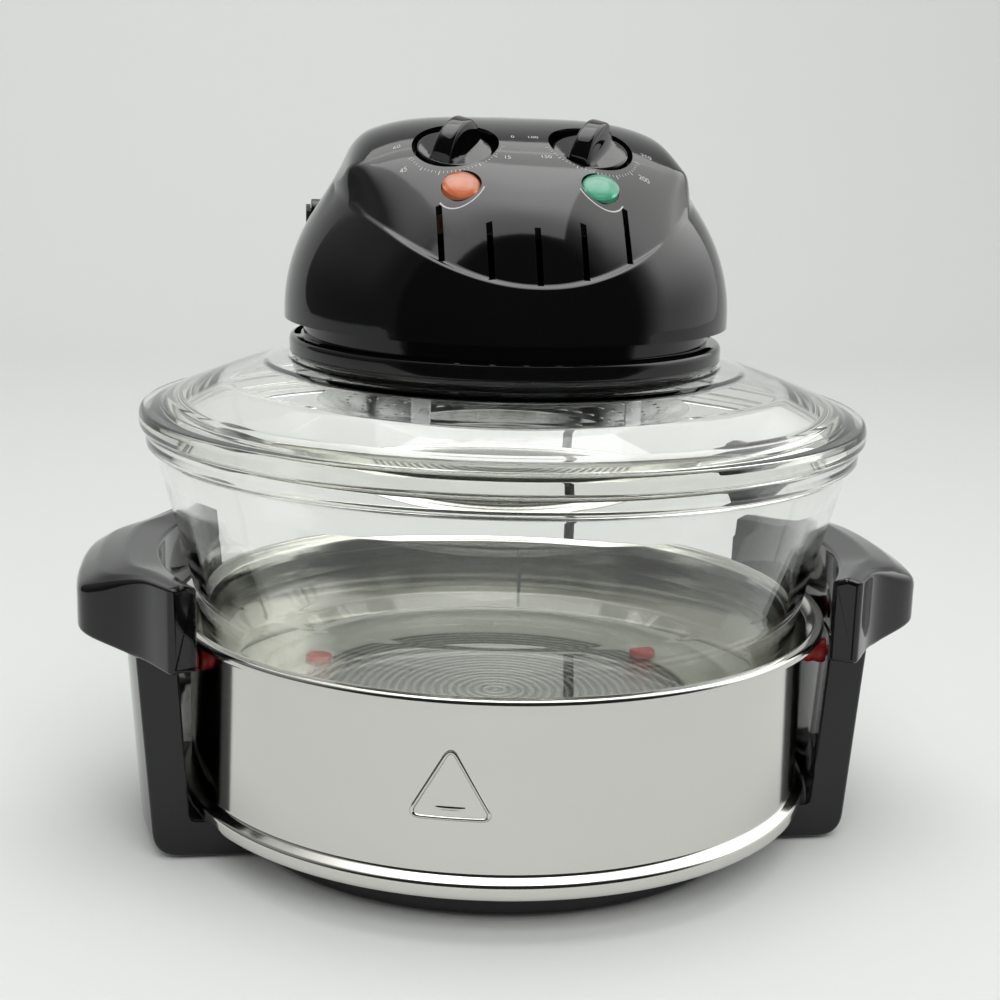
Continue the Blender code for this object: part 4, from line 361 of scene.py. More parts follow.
def mouldedMaterial(name, colour, second, roughness, spread, cloud, grain, height, **more):
    # colour, roughness and bump come from the shared finish, each with this material's own values
    material, tree, shader = newMaterial(name, colour, roughness, **more)
    group = addNode(tree, "Group", node_tree=surfaceFinish)
    feed(tree, group, {
        "Colour": colour, "Second Colour": second, "Roughness": roughness, "Roughness Spread": spread,
        "Cloud Scale": cloud, "Grain Scale": grain, "Grain Height": height,
    })
    out = group.outputs
    feed(tree, shader, {"Base Color": out["Colour"], "Roughness": out["Roughness"], "Normal": out["Normal"]})
    return material


def turnedSteel(name, colour, roughness, ringScale, ringHeight):
    # metal with fine tool lines, noise over (distance from the axis, height), and faint stains
    material, tree, shader = newMaterial(name, colour, roughness, Metallic=1.0)
    where, x, y, z, radius = ownPlace(tree)
    lines = cloudy(tree, addNode(tree, "CombineXYZ", {0: radius, 1: z}).outputs[0], ringScale, 3)
    stain = cloudy(tree, where, 9, 5)
    feed(tree, shader, {
        "Base Color": mixed(tree, stain, colour, tuple(0.93 * c for c in colour)),
        "Roughness": maths(tree, "MULTIPLY_ADD", stain, 0.10, roughness),
        "Normal": bumped(tree, lines, ringHeight, 0.0003),
    })
    return material


# dark and light are the colours of the rings and the border; ring is the share of the painted glints, the fan
# values give the painted highlight fan, grooved and fade where the border with its painted light begins
ringValues = {
    "dark": (0.16, 0.16, 0.145), "light": (0.74, 0.735, 0.69), "roughness": 0.26, "pitch": 0.0044,
    "waver": 1.2, "fanTurn": -2.6, "ring": 0.40, "fan": 0.22, "lines": 0.4, "ground": 0.25,
    "grooved": 0.0960, "fade": 0.003, "borderDull": 0.22,
}


def ringSteel(name):
    # turned plate: rings sin(tau r / pitch + waver) in colour, the turned grooves shown as painted glints,
    # and a painted highlight fan cos(2 angle + turn) over them; the border outside the grooves is plain and a
    # little duller, and lighter with painted light
    v = ringValues
    material, tree, shader = newMaterial(name, v["light"], v["roughness"], Metallic=1.0)
    where, x, y, z, radius = ownPlace(tree)

    def plus(first, second):
        return maths(tree, "ADD", first, second)

    def times(first, second):
        return maths(tree, "MULTIPLY", first, second)

    waver = times(cloudy(tree, where, 30, 3), v["waver"])
    # the rings follow the real turned grooves, but their dark to light colour is painted glints
    ring = maths(tree, "SINE", plus(times(radius, tau / v["pitch"]), waver))
    lines = cloudy(tree, addNode(tree, "CombineXYZ", {0: radius}).outputs[0], 800, 3)
    # painted highlight: a fan of brightness cos(2 angle + turn) added to the colour, in place of the sheen on
    # the turned plate
    fan = maths(tree, "COSINE", plus(times(maths(tree, "ARCTAN2", y, x), 2), v["fanTurn"]))
    total = plus(times(ring, v["ring"]), times(fan, v["fan"]))
    total = plus(plus(total, times(lines, v["lines"])), v["ground"])
    # the border outside the grooves: no grooves and a little duller, and its colour lifted to the light one
    # as painted light
    plainBorderPaintedLight = ramped(tree, radius, v["grooved"], v["grooved"] + v["fade"])
    grooves = times(ring, maths(tree, "SUBTRACT", 1.0, plainBorderPaintedLight))
    feed(tree, shader, {
        "Base Color": mixed(tree, maths(tree, "MAXIMUM", total, plainBorderPaintedLight), v["dark"], v["light"]),
        "Roughness": plus(v["roughness"], times(plainBorderPaintedLight, v["borderDull"])),
        "Normal": bumped(tree, grooves, 0.5, 0.0002),
    })
    return material


def clearGlass(name, colour, thick, density):
    # clear at a glance, tinted where the light runs far inside it; shadow rays pass straight through
    material, tree, shader = newMaterial(name, colour, 0.0, Transmission_Weight=1, IOR=1.45)
    where = addNode(tree, "TexCoord").outputs["Object"]
    feed(tree, shader, {"Normal": bumped(tree, cloudy(tree, where, 9, 2), 0.03, 0.002)})
    shadow = addNode(tree, "LightPath").outputs["Is Shadow Ray"]
    clear = addNode(tree, "BsdfTransparent", {"Color": (0.93, 0.95, 0.92)}).outputs[0]
    leave = tree.nodes["Material Output"]
    both = addNode(tree, "MixShader", {0: shadow, 1: shader.outputs[0], 2: clear})
    feed(tree, leave, {"Surface": both.outputs[0]})
    if density:
        tint = addNode(tree, "VolumeAbsorption", {"Color": thick, "Density": density})
        feed(tree, leave, {"Volume": tint.outputs[0]})
    return material


def lensMaterial(name, colour, glow):
    # coloured see-through plastic, a little cloudy inside
    material, tree, shader = newMaterial(name, colour, 0.08, Transmission_Weight=0.55, IOR=1.49)
    cloud = cloudy(tree, addNode(tree, "TexCoord").outputs["Object"], 160, 2)
    feed(tree, shader, {"Base Color": mixed(tree, cloud, colour, glow)})
    return material


# each finish: colour, second colour, roughness, its spread, cloud scale, grain scale, grain height
finishValues = {
    "blackGloss": ((0.0022, 0.0022, 0.0026), (0.0034, 0.0034, 0.0038), 0.05, 0.04, 18, 260, 0.04),
    "blackSatin": ((0.012, 0.012, 0.013), (0.017, 0.017, 0.018), 0.42, 0.08, 30, 1400, 0.25),
    "blackRubber": ((0.016, 0.016, 0.017), (0.024, 0.024, 0.024), 0.55, 0.10, 60, 1800, 0.3),
    "redSilicone": ((0.40, 0.012, 0.014), (0.32, 0.008, 0.010), 0.38, 0.08, 60, 1500, 0.15),
    "whiteCeramic": ((0.80, 0.78, 0.72), (0.72, 0.70, 0.64), 0.65, 0.10, 80, 2200, 0.3),
    "palePlastic": ((0.72, 0.71, 0.67), (0.66, 0.65, 0.61), 0.50, 0.08, 60, 1500, 0.15),
    "copperWire": ((0.62, 0.27, 0.12), (0.50, 0.20, 0.08), 0.35, 0.08, 90, 2500, 0.4),
    "darkMetal": ((0.20, 0.20, 0.21), (0.15, 0.15, 0.16), 0.42, 0.10, 60, 2200, 0.2),
    "brightMetal": ((0.76, 0.76, 0.77), (0.70, 0.70, 0.71), 0.22, 0.10, 40, 2000, 0.08),
    "coilWire": ((0.16, 0.15, 0.14), (0.11, 0.11, 0.11), 0.38, 0.10, 90, 2500, 0.2),
    "guardSteel": ((0.80, 0.80, 0.79), (0.74, 0.74, 0.73), 0.13, 0.08, 60, 1400, 0.10),
    "printGrey": ((0.52, 0.52, 0.50), (0.46, 0.46, 0.45), 0.45, 0.05, 90, 1500, 0.05),
}
finishMore = {"blackGloss": {"Specular_IOR_Level": 0.46}}
finishMore["redSilicone"] = {"Subsurface_Weight": 0.15, "Subsurface_Scale": 0.002}
for name in ("copperWire", "darkMetal", "brightMetal", "coilWire", "guardSteel"):
    finishMore[name] = {"Metallic": 1.0}
finish = {name: mouldedMaterial(name, *row, **finishMore.get(name, {})) for name, row in finishValues.items()}
finish["wallSteel"] = turnedSteel("wallSteel", (0.66, 0.655, 0.62), 0.07, 900, 0.04)
finish["floorSteel"] = ringSteel("floorSteel")
finish["bowlGlass"] = clearGlass("bowlGlass", (0.990, 0.995, 0.988), (0.70, 0.80, 0.35), 3)
finish["quartzGlass"] = clearGlass("quartzGlass", (0.97, 0.98, 0.98), (1, 1, 1), 0)
finish["amberPlastic"] = lensMaterial("amberPlastic", (0.86, 0.20, 0.07), (0.95, 0.42, 0.24))
finish["greenPlastic"] = lensMaterial("greenPlastic", (0.05, 0.50, 0.30), (0.25, 0.72, 0.50))
print("materials ready")

# CAD nodes that stay as they are get the finish of their slot
slotFinish = {
    "black_gloss": "blackGloss", "black_satin": "blackSatin", "steel": "wallSteel", "copper": "copperWire",
    "bright_metal": "brightMetal", "dark_metal": "darkMetal", "glass": "bowlGlass", "quartz": "quartzGlass",
    "silicone": "redSilicone", "rubber": "blackRubber", "ceramic": "whiteCeramic", "amber": "amberPlastic",
    "green": "greenPlastic", "pale_plastic": "palePlastic",
}
for row in frame["record"]["subparts"]:
    for held in nodes[row["node"]].material_slots:
        held.material = finish[slotFinish[row["material_slot"]]]
for name in ("handle_pivot_left", "handle_pivot_right"):
    nodes[name].material_slots[0].material = finish["blackSatin"]


# stage, camera and light

stageValues = {
    "floorNear": -0.78, "floorFar": 1.6, "floorHalf": 2.6, "sweep": 0.9, "wallTop": 3.4, "sink": 0.0001,
    "floorColour": (0.83, 0.84, 0.83), "background": (0.80, 0.815, 0.80),
    "cameraPlace": (-0.1195, -0.8190, 0.3426), "target": (0, 0, 0.150), "roll": 1.6,
    "lens": 63.36, "shiftY": 0.017, "fill": 0.58, "room": (0.02, 0.021, 0.02), "ceiling": (2.7, 2.7, 2.66),
    # where the mirrored room is dark and bright: from none to full along one axis of the view's direction
    "darkFront": (-0.14, -0.48), "darkSide": (-0.25, -0.72, 0.90), "brightAbove": (0.04, 0.52),
    "brightBack": (-0.34, -0.06),
}
# each lamp: place, target, size, power, and whether reflections show it
lampValues = {
    "ceiling": ((0.0, -0.10, 1.5), (0, 0, 0.2), (1.1, 1.1), 7, True),
    "frontFill": ((0.0, -2.5, 2.3), (0, 0.2, 0.1), (2.6, 1.4), 46, False),
    "wallWash": ((0.0, 0.9, 1.9), (0, 2.4, 0.9), (2.4, 0.5), 7, True),
}


def makePaper():
    # a paper sweep: flat floor, then a quarter turn y = far + R sin t, z = R (1 - cos t), then upright
    v = stageValues
    t = np.radians(np.linspace(0, 90, 33))
    far, sweep = v["floorFar"], v["sweep"]
    y = np.concatenate([[v["floorNear"]], far + sweep * np.sin(t), [far + sweep]])
    z = np.concatenate([[0], sweep * (1 - np.cos(t)), [v["wallTop"]]])
    x = np.linspace(-v["floorHalf"], v["floorHalf"], 3)
    mesh = gridMesh("paperSweep", stacked(x, y[:, None], z[:, None] - v["sink"]), False)
    mesh.shade_smooth()
    paper = newMaterial("floorPaper", v["floorColour"], 0.75, Specular_IOR_Level=0.25)[0]
    addPiece("paperSweep", mesh, paper)


def makeRoom():
    # what is seen, mirrored or looked through has full strength, what only lights has the fill's;
    # reflections show a bright ceiling above and behind, and a dark room in front of the paper
    v = stageValues
    world = bpy.data.worlds.new("studio")
    bpy.context.scene.world = world
    world.use_nodes = True
    tree = world.node_tree
    path = addNode(tree, "LightPath").outputs
    glossy = path["Is Glossy Ray"]
    seen = maths(tree, "MAXIMUM", path["Is Camera Ray"], glossy)
    seen = maths(tree, "MAXIMUM", seen, path["Is Transmission Ray"])
    strength = addNode(tree, "MapRange", {"Value": seen, "To Min": v["fill"], "To Max": 1.0}).outputs[0]
    x, y, z = addNode(tree, "SeparateXYZ", {0: addNode(tree, "TexCoord").outputs["Generated"]}).outputs
    dark = maths(tree, "MAXIMUM", ramped(tree, y, *v["darkFront"]), ramped(tree, x, *v["darkSide"]))
    above = maths(tree, "MULTIPLY", ramped(tree, z, *v["brightAbove"]), ramped(tree, y, *v["brightBack"]))
    lifted = mixed(tree, maths(tree, "MULTIPLY", above, glossy), v["background"], v["ceiling"])
    colour = mixed(tree, maths(tree, "MULTIPLY", dark, glossy), lifted, v["room"])
    feed(tree, tree.nodes["Background"], {"Strength": strength, "Color": colour})


def makeLamp(name, start, target, size, power, mirrored):
    # a rectangular lamp aimed at its target
    data = bpy.data.lights.new(name, "AREA")
    data.shape = "RECTANGLE"
    data.size, data.size_y = size
    data.energy = power
    lamp = addPiece(name, data)
    lamp.location = start
    lamp.rotation_euler = (Vector(target) - Vector(start)).to_track_quat("-Z", "Y").to_euler()
    lamp.visible_glossy = mirrored


def makeCamera():
    # aimed at its target, then rolled about its own axis
    v = stageValues
    data = bpy.data.cameras.new("camera")
    data.sensor_width = 36
    data.lens = v["lens"]
    data.shift_y = v["shiftY"]
    camera = addPiece("camera", data)
    start, target = Vector(v["cameraPlace"]), Vector(v["target"])
    turn = (target - start).to_track_quat("-Z", "Y").to_matrix().to_4x4()
    camera.matrix_world = Matrix.Translation(start) @ turn @ Matrix.Rotation(math.radians(v["roll"]), 4, "Z")
    bpy.context.scene.camera = camera
    bpy.context.scene.view_settings.view_transform = "Standard"


makePaper()
makeRoom()
makeCamera()
for name, row in lampValues.items():
    makeLamp(name, *row)
print("stage, camera and light ready")


# cord: lead, tied hank and tail as one curve

cordValues = {
    "radius": 0.0030, "turn": 68.5, "flange": 0.1010, "exitHeight": 0.2336, "relief": 0.0260,
    "straight": 0.0410, "bend": 0.0380, "landBend": 0.0260, "hankPlace": -0.0020, "floor": 0.0046,
    "run": 0.0320, "fold": 0.0190, "waist": 0.0110, "pitch": 0.0067, "layers": 4, "loopPoints": 24,
    "leadTurn": 0.12, "tail": 0.0300, "tailBend": 0.3, "plugRadius": 0.0095, "gap": 0.0003,
    "leadSpacing": 0.0090, "tailSpacing": 0.0050, "climbFrom": 0.3, "climbTo": 0.7,
}


def cordPoint(out, height):
    # a point in the cord's upright plane, out from the flange's edge
    return around(cordValues["flange"] + out, math.radians(cordValues["turn"]), height)


def hankLine():
    # a loop is two runs drawn in to a waist, y = waist + (fold - waist)(1 - cos(pi u / run)) / 2, and two
    # half round folds; it lies flat on the loop below and climbs one pitch on its far run
    v = cordValues
    run, fold, waist = v["run"], v["fold"], v["waist"]
    bend = math.pi * fold
    whole = 4 * run + 2 * bend
    start, end = -v["leadTurn"], v["layers"] + v["leadTurn"]
    loops = np.linspace(start, end, round((end - start) * v["loopPoints"]) + 1)
    count = np.floor(loops)
    along = (loops - count) * whole
    drawn = lambda u: waist + (fold - waist) * (1 - np.cos(math.pi * np.clip(np.abs(u), 0, run) / run)) / 2
    near = np.where(along > whole / 2, along - whole, along)
    far = 2 * run + bend - along
    firstTurn, secondTurn = (along - run) / fold, (along - 3 * run - bend) / fold
    # each stretch: where it holds, its u and its distance across
    stretches = [
        (np.abs(near) < run, near, -drawn(near)),
        (np.abs(far) <= run, far, drawn(far)),
        ((along >= run) & (along < run + bend), run + fold * np.sin(firstTurn), -fold * np.cos(firstTurn)),
        (along >= 3 * run + bend, -run - fold * np.sin(secondTurn), fold * np.cos(secondTurn)),
    ]
    holds, u, across = zip(*stretches)
    u, across = np.select(holds, u), np.select(holds, across)
    climb = easeStep(loops - count, v["climbFrom"], v["climbTo"])
    middle = cordPoint(v["straight"] + v["bend"], 0)[1] + fold
    return stacked(v["hankPlace"] + u, middle + across, v["floor"] + v["pitch"] * (count + climb))


def smoothLine(points, spacing):
    # a Catmull-Rom curve through the points, (2 b + (c - a) t + (2 a - 5 b + 4 c - d) t^2
    # + (3 b - a - 3 c + d) t^3) / 2, read at even steps
    given = [np.array(p, dtype=float) for p in points]
    given = [2 * given[0] - given[1], *given, 2 * given[-1] - given[-2]]
    fine = []
    t = (np.arange(20) / 20)[:, None]
    for a, b, c, d in zip(given, given[1:], given[2:], given[3:]):
        square, cube = 2 * a - 5 * b + 4 * c - d, 3 * b - a - 3 * c + d
        fine.append(0.5 * (2 * b + (c - a) * t + square * t ** 2 + cube * t ** 3))
    fine = np.concatenate([*fine, [given[-2]]])
    along = np.concatenate([[0], np.cumsum(np.linalg.norm(np.diff(fine, axis=0), axis=1))])
    at = np.linspace(0, along[-1], max(2, round(along[-1] / spacing)) + 1)
    return stacked(*(np.interp(at, along, fine[:, k]) for k in range(3)))


def cordLine():
    # out level, a quarter turn down, straight down, a quarter turn in to the hank's top layer,
    # down through the hank, and a short tail to the plug
    v = cordValues
    side = np.array([1.0, 0, 0])
    hank = hankLine()
    hank = np.concatenate([[hank[0] - 2 * v["radius"] * side], hank, [hank[-1] + 2 * v["radius"] * side]])
    start = cordPoint(v["relief"] + v["gap"], v["exitHeight"])
    t = np.radians(np.linspace(0, 90, 7))
    sine, versine = np.sin(t), 1 - np.cos(t)
    over = cordPoint(v["straight"] + v["bend"] * sine, v["exitHeight"] - v["bend"] * versine)
    land, top = over[-1], hank[-1] + side * v["gap"]
    foot = top[2] + v["landBend"]
    down = stacked(land[0], land[1], foot + (land[2] - foot) * np.array([0.8, 0.6, 0.4, 0.2]))
    inX, inY = land[0] - v["landBend"] * versine, land[1] + (top[1] - land[1]) * sine
    inward = stacked(inX, inY, foot - v["landBend"] * sine)
    lead = smoothLine([start, *over, *down, *inward, top], v["leadSpacing"])
    bottom = hank[0] - side * v["gap"]
    plugTop = np.array([bottom[0] - v["tail"], bottom[1], v["plugRadius"] + v["gap"]])
    bend = side * v["tailBend"] * v["tail"]
    tail = smoothLine([bottom, bottom - bend, plugTop + bend, plugTop], v["tailSpacing"])
    return start, np.concatenate([lead[:-1], hank[::-1], tail[1:]])


# the sleeve where the cord leaves the flange
reliefValues = {
    "root": 0.0046, "tip": 0.0038, "seat": 0.0036, "seatDepth": 0.0040, "start": 0.0003, "ribs": 6,
    "groove": 0.0006,
}


def makeRelief():
    # a ribbed sleeve: radius falls evenly from root to tip, less groove (1 - cos(tau ribs s)) / 2 in each rib
    v, length, height = reliefValues, cordValues["relief"], cordValues["exitHeight"]
    share = np.linspace(0, 1, 97)
    ripple = (1 - np.cos(tau * v["ribs"] * share)) / 2
    radius = v["root"] + (v["tip"] - v["root"]) * share - v["groove"] * ripple
    sleeve = np.stack([radius, v["start"] + (length - v["start"]) * share], axis=1)
    seat = [(0, -v["seatDepth"]), (v["seat"], -v["seatDepth"]), (v["seat"], v["start"])]
    line = np.concatenate([seat, sleeve, [(0, length)]])
    piece = turned("cordSleeve", line, finish["blackRubber"], 48, closed=False)
    start = Vector(cordPoint(0, height))
    turn = (Vector(cordPoint(1, height)) - start).to_track_quat("Z", "Y").to_matrix().to_4x4()
    belongs(place(piece, Matrix.Translation(start) @ turn), "head", "rubber", "strain_relief")


# the plug's sections: distance from the neck, half width and half height
plugSections = (
    (0, 0.0040, 0.0038), (0.0015, 0.0046, 0.0043), (0.0060, 0.0049, 0.0046), (0.0066, 0.0042, 0.0040),
    (0.0078, 0.0042, 0.0040), (0.0084, 0.0053, 0.0050), (0.0096, 0.0055, 0.0052), (0.0102, 0.0048, 0.0045),
    (0.0114, 0.0056, 0.0054), (0.0150, 0.0086, 0.0083), (0.0190, 0.0094, 0.0091), (0.0320, 0.0094, 0.0091),
    (0.0334, 0.0091, 0.0088), (0.0340, 0.0082, 0.0078),
)


def makePlug():
    # a slightly squared body: each section is |y / wide|^n + |z / flat|^n = 1,
    # with n from 2 at the neck to 2.4 at the face
    box = np.array([nodes["plug_body"].matrix_world @ Vector(c) for c in nodes["plug_body"].bound_box])
    neck, middle = box.max(axis=0)[0], (box.max(axis=0) + box.min(axis=0)) / 2
    along, wide, flat = (column[:, None] for column in np.array(plugSections).T)
    power = 2 + 0.4 * along / along[-1]
    a = np.linspace(0, tau, 72, endpoint=False)
    size = (np.abs(np.cos(a)) ** power + np.abs(np.sin(a)) ** power) ** (-1 / power)
    points = stacked(neck - along, middle[1] + wide * size * np.cos(a), middle[2] + flat * size * np.sin(a))
    plug = closedLoft("plugBody", points, finish["blackRubber"], 50)
    belongs(plug, "head", "rubber", "plug_body")
    return plug


def makeCord():
    # a smooth curve: each handle is a sixth of the step from the point before to the point after
    exitPlace, line = cordLine()
    step = np.gradient(line, axis=0) / 3
    curve = bpy.data.curves.new("mainsCord", "CURVE")
    curve.dimensions = "3D"
    curve.bevel_depth = cordValues["radius"]
    curve.bevel_resolution = 4
    curve.resolution_u = 3
    curve.use_fill_caps = True
    spline = curve.splines.new("BEZIER")
    spline.bezier_points.add(len(line) - 1)
    for key, values in (("co", line), ("handle_left", line - step), ("handle_right", line + step)):
        spline.bezier_points.foreach_set(key, values.reshape(-1))
    cord = addPiece("mainsCord", curve, finish["blackRubber"])
    belongs(cord, "head", "rubber", "cord_lead", "cord_hank", "cord_tail")
    ends = [makePlug(), *(nodes[n] for n in ("cord_tie", "plug_pin_left", "plug_pin_right"))]


makeCord()
makeRelief()


# stand: steel wall, floor plate, silicone pieces

shellValues = {
    "radius": 0.1480, "rim": 0.1560, "rimTop": 0.1100, "bead": 0.1524, "foot": 0.0203, "sheet": 0.0010,
    "footInner": 0.1040,
}
floorPlateValues = {"radius": 0.1467, "top": 0.0600, "skirtFoot": 0.0216, "rounding": 0.005, "sheet": 0.001}
padValues = {
    "ring": 0.0990, "places": (("right", 30), ("left", 150), ("front", 270)),
    "profile": (
        (0, 0.0637, 0), (0.0068, 0.0637, 0.0012), (0.0068, 0.0603, 0.0006), (0.0028, 0.0603, 0),
        (0.0028, 0.0587, 0), (0.0042, 0.0587, 0.0004), (0.0028, 0.0565, 0.0003), (0, 0.0565, 0),
    ),
}
spacerValues = {
    "height": 0.0925,
    "places": (("right_front", -14), ("right_rear", 14), ("left_rear", 166), ("left_front", 194)),
    # a barrel shaped bumper, squeezed a little in its middle
    "profile": (
        (0, 0.1632, 0), (0.0026, 0.1632, 0.0003), (0.0026, 0.1592, 0), (0.0058, 0.1592, 0.0012),
        (0.0062, 0.1560, 0.003), (0.0054, 0.1536, 0.002), (0.0062, 0.1512, 0.003), (0.0058, 0.1485, 0.0012),
        (0, 0.1485, 0),
    ),
}


def makeShell():
    # a turned sheet: rolled rim, plain wall and a bead at its foot
    v = shellValues
    r, rim, top, foot = v["radius"], v["rim"], v["rimTop"], v["foot"]
    outer = [
        (rim, top - 0.0028, 0), (rim + 0.0002, top - 0.0006, 0.0012), (rim - 0.0028, top + 0.0001, 0.0014),
        (r + 0.0012, top - 0.0035, 0.002), (r, top - 0.0085, 0.003), (r, foot + 0.0105, 0.002),
        (r + 0.0044, foot + 0.0075, 0.0024), (v["bead"], foot + 0.0005, 0.0030), (v["footInner"], foot, 0),
    ]
    shell = turned("steelWall", sheetLine(outer, v["sheet"]), finish["wallSteel"], 256)
    belongs(shell, "stand", "steel", "steel_shell")


def makeFloorPlate():
    # a turned sheet: flat plate, rounded edge and upright skirt
    v = floorPlateValues
    outer = [(0.0004, v["top"], 0), (v["radius"], v["top"], v["rounding"]), (v["radius"], v["skirtFoot"], 0)]
    plate = turned("floorPlate", sheetLine(outer, v["sheet"], 8), finish["floorSteel"], 256)
    belongs(plate, "stand", "steel", "floor_plate")


def makeSilicone():
    # the pads stand on the plate, the spacers lie with their axes outwards between wall and posts
    red = finish["redSilicone"]
    line = roundedLine(padValues["profile"], False)
    for name, turn in padValues["places"]:
        pad = turned("silicone_pad_" + name, line, red, 48, closed=False)
        place(pad, Matrix.Translation(around(padValues["ring"], math.radians(turn), 0)))
        belongs(pad, "stand", "silicone", "pad_" + name)
    line = roundedLine(spacerValues["profile"], False)
    lifted = Matrix.Translation((0, 0, spacerValues["height"]))
    lean = Matrix.Rotation(math.radians(90), 4, "Y")
    for name, turn in spacerValues["places"]:
        spacer = turned("bumper_" + name, line, red, 48, closed=False)
        place(spacer, lifted @ Matrix.Rotation(math.radians(turn), 4, "Z") @ lean)
        belongs(spacer, "stand", "silicone", "spacer_" + name)


makeShell()
makeFloorPlate()
makeSilicone()
print("steel wall and floor ready")


# stand: cradle and grips

cradleValues = {
    "halfWidth": 0.0520, "postTop": 0.0992, "foot": 0.0020, "baseTop": 0.0200, "outerTop": 0.1780,
    "outerFoot": 0.1715, "innerTop": 0.1605, "innerFoot": 0.1560, "root": 0.0900, "disc": 0.1265,
    "edge": 0.0016, "hollow": 0.1114, "hollowTop": 0.0056, "barReach": 0.1462, "barHollow": 0.0480,
    "overlap": 0.0001,
}


def makeCradle():
    # each post keeps its section (radius, height) on every row y, so x = sqrt(radius^2 - y^2)
    v = cradleValues
    section = roundedLine([
        (v["root"], v["baseTop"], 0), (v["innerFoot"], v["baseTop"], 0.0030),
        (v["innerTop"], v["postTop"], 0.0008), (v["outerTop"], v["postTop"], 0.0008),
        (v["outerFoot"], v["foot"], 0.0120), (v["root"], v["foot"], 0),
    ], True, 8)
    y, inset = roundedEnds(v["halfWidth"], v["edge"])
    rows = shrunk(np.broadcast_to(section, (len(y), *section.shape)), inset)
    y = y[:, None]
    arm = stacked(np.sqrt(np.maximum(rows[..., 0] ** 2 - y ** 2, 0)), y, rows[..., 1])
    top, low = v["baseTop"] - v["overlap"], v["foot"] + v["overlap"]
    disc = [(0, top, 0), (v["disc"], top, 0.0030), (v["disc"], low, 0.0030), (0, low, 0)]
    cradle = turned("cradleBody", roundedLine(disc, False, 6), finish["blackGloss"], 192, closed=False)
    posts = [closedLoft("cradlePost", arm * np.array([side, 1, 1]), None, 40) for side in (1, -1)]
    cut(cradle, joined("cradlePosts", posts), "UNION")
    # the hollow underneath, where the base cover sits
    hollow = [(0, v["hollowTop"]), (v["hollow"], v["hollowTop"]), (v["hollow"], -0.01), (0, -0.01)]
    cut(cradle, turned("hollow", hollow, None, 128, closed=False))
    low = (-v["barReach"], -v["barHollow"], -0.011)
    cut(cradle, boxPiece("barHollow", low, (v["barReach"], v["barHollow"], v["hollowTop"] - v["overlap"])))
    weighted(cradle, 40)
    belongs(cradle, "stand", "black_gloss", "cradle")


# the outline is the grip's outer edge seen from above: degrees from its middle, and reach there
gripValues = {
    "inner": 0.1615, "halfAngle": 28.6, "endAngle": 0.9, "endInset": 0.0025, "bottom": 0.0995,
    "topInner": 0.1370, "topHigh": 0.1395, "topOuter": 0.1285, "bottomOuter": 0.1080, "crownDrop": 0.0010,
    "crownPlace": 0.1650, "crownShare": 0.35, "shoulderShare": 0.55, "shoulderDrop": 0.30,
    "shoulderSink": 0.0006, "narrow": 0.1748, "wide": 0.2005, "bellyPlace": 0.1790, "bellyFrom": 0.1815,
    "bellyBack": 0.0035,
    "outline": (
        (0, 0.1988), (6, 0.1995), (11, 0.2003), (13.2, 0.1991), (15, 0.1930), (17.2, 0.1845), (19.5, 0.1795),
        (22, 0.1770), (28.6, 0.1748),
    ),
}


def gripSection(reach):
    # the section at one turn: flat inner side and bottom, crowned top that falls towards the outer edge
    v = gripValues
    share = (reach - v["narrow"]) / (v["wide"] - v["narrow"])
    high = v["topHigh"] - v["crownDrop"]
    high = high - (high - v["topOuter"]) * share
    low = v["bottom"] + (v["bottomOuter"] - v["bottom"]) * share
    middle = v["crownPlace"] + v["crownShare"] * (reach - v["crownPlace"])
    crown = v["topHigh"] - v["crownDrop"] * share
    shoulder = middle + v["shoulderShare"] * (reach - middle)
    belly = v["bellyPlace"] if reach > v["bellyFrom"] else reach - v["bellyBack"]
    return roundedLine([
        (v["inner"], v["bottom"], 0.0010), (v["inner"], v["topInner"], 0.0022), (middle, crown, 0.0090),
        (shoulder, crown - v["shoulderDrop"] * (crown - high) - v["shoulderSink"], 0.0120),
        (reach, high, 0.0070), (reach, low, 0.0030), (belly, v["bottom"], 0.0050),
    ], True, 6)


def makeGrip(name, side, node):
    # one section for each turn round the stand, its reach from the outline, smoothed over five rows
    v = gripValues
    end = math.radians(v["endAngle"])
    turns, inset = roundedEnds(math.radians(v["halfAngle"]), end, 6, 60)
    outer = np.interp(np.abs(np.degrees(turns)), *zip(*v["outline"]))
    outer[2:-2] = np.convolve(outer, np.array([1, 2, 3, 2, 1]) / 9, "valid")
    lines = shrunk(np.array([gripSection(reach) for reach in outer]), inset / end * v["endInset"])
    points = around(lines[..., 0], turns[:, None], lines[..., 1]) * np.array([side, side, 1])
    grip = closedLoft(name, points, finish["blackGloss"], 60)
    weighted(grip, 60)
    belongs(grip, "stand", "black_gloss", node)


makeCradle()
makeGrip("gripRight", 1, "grip_right")
makeGrip("gripLeft", -1, "grip_left")
print("cradle and grips ready")


# glass bowl and lid, each a turned section (radius, height, rounding)

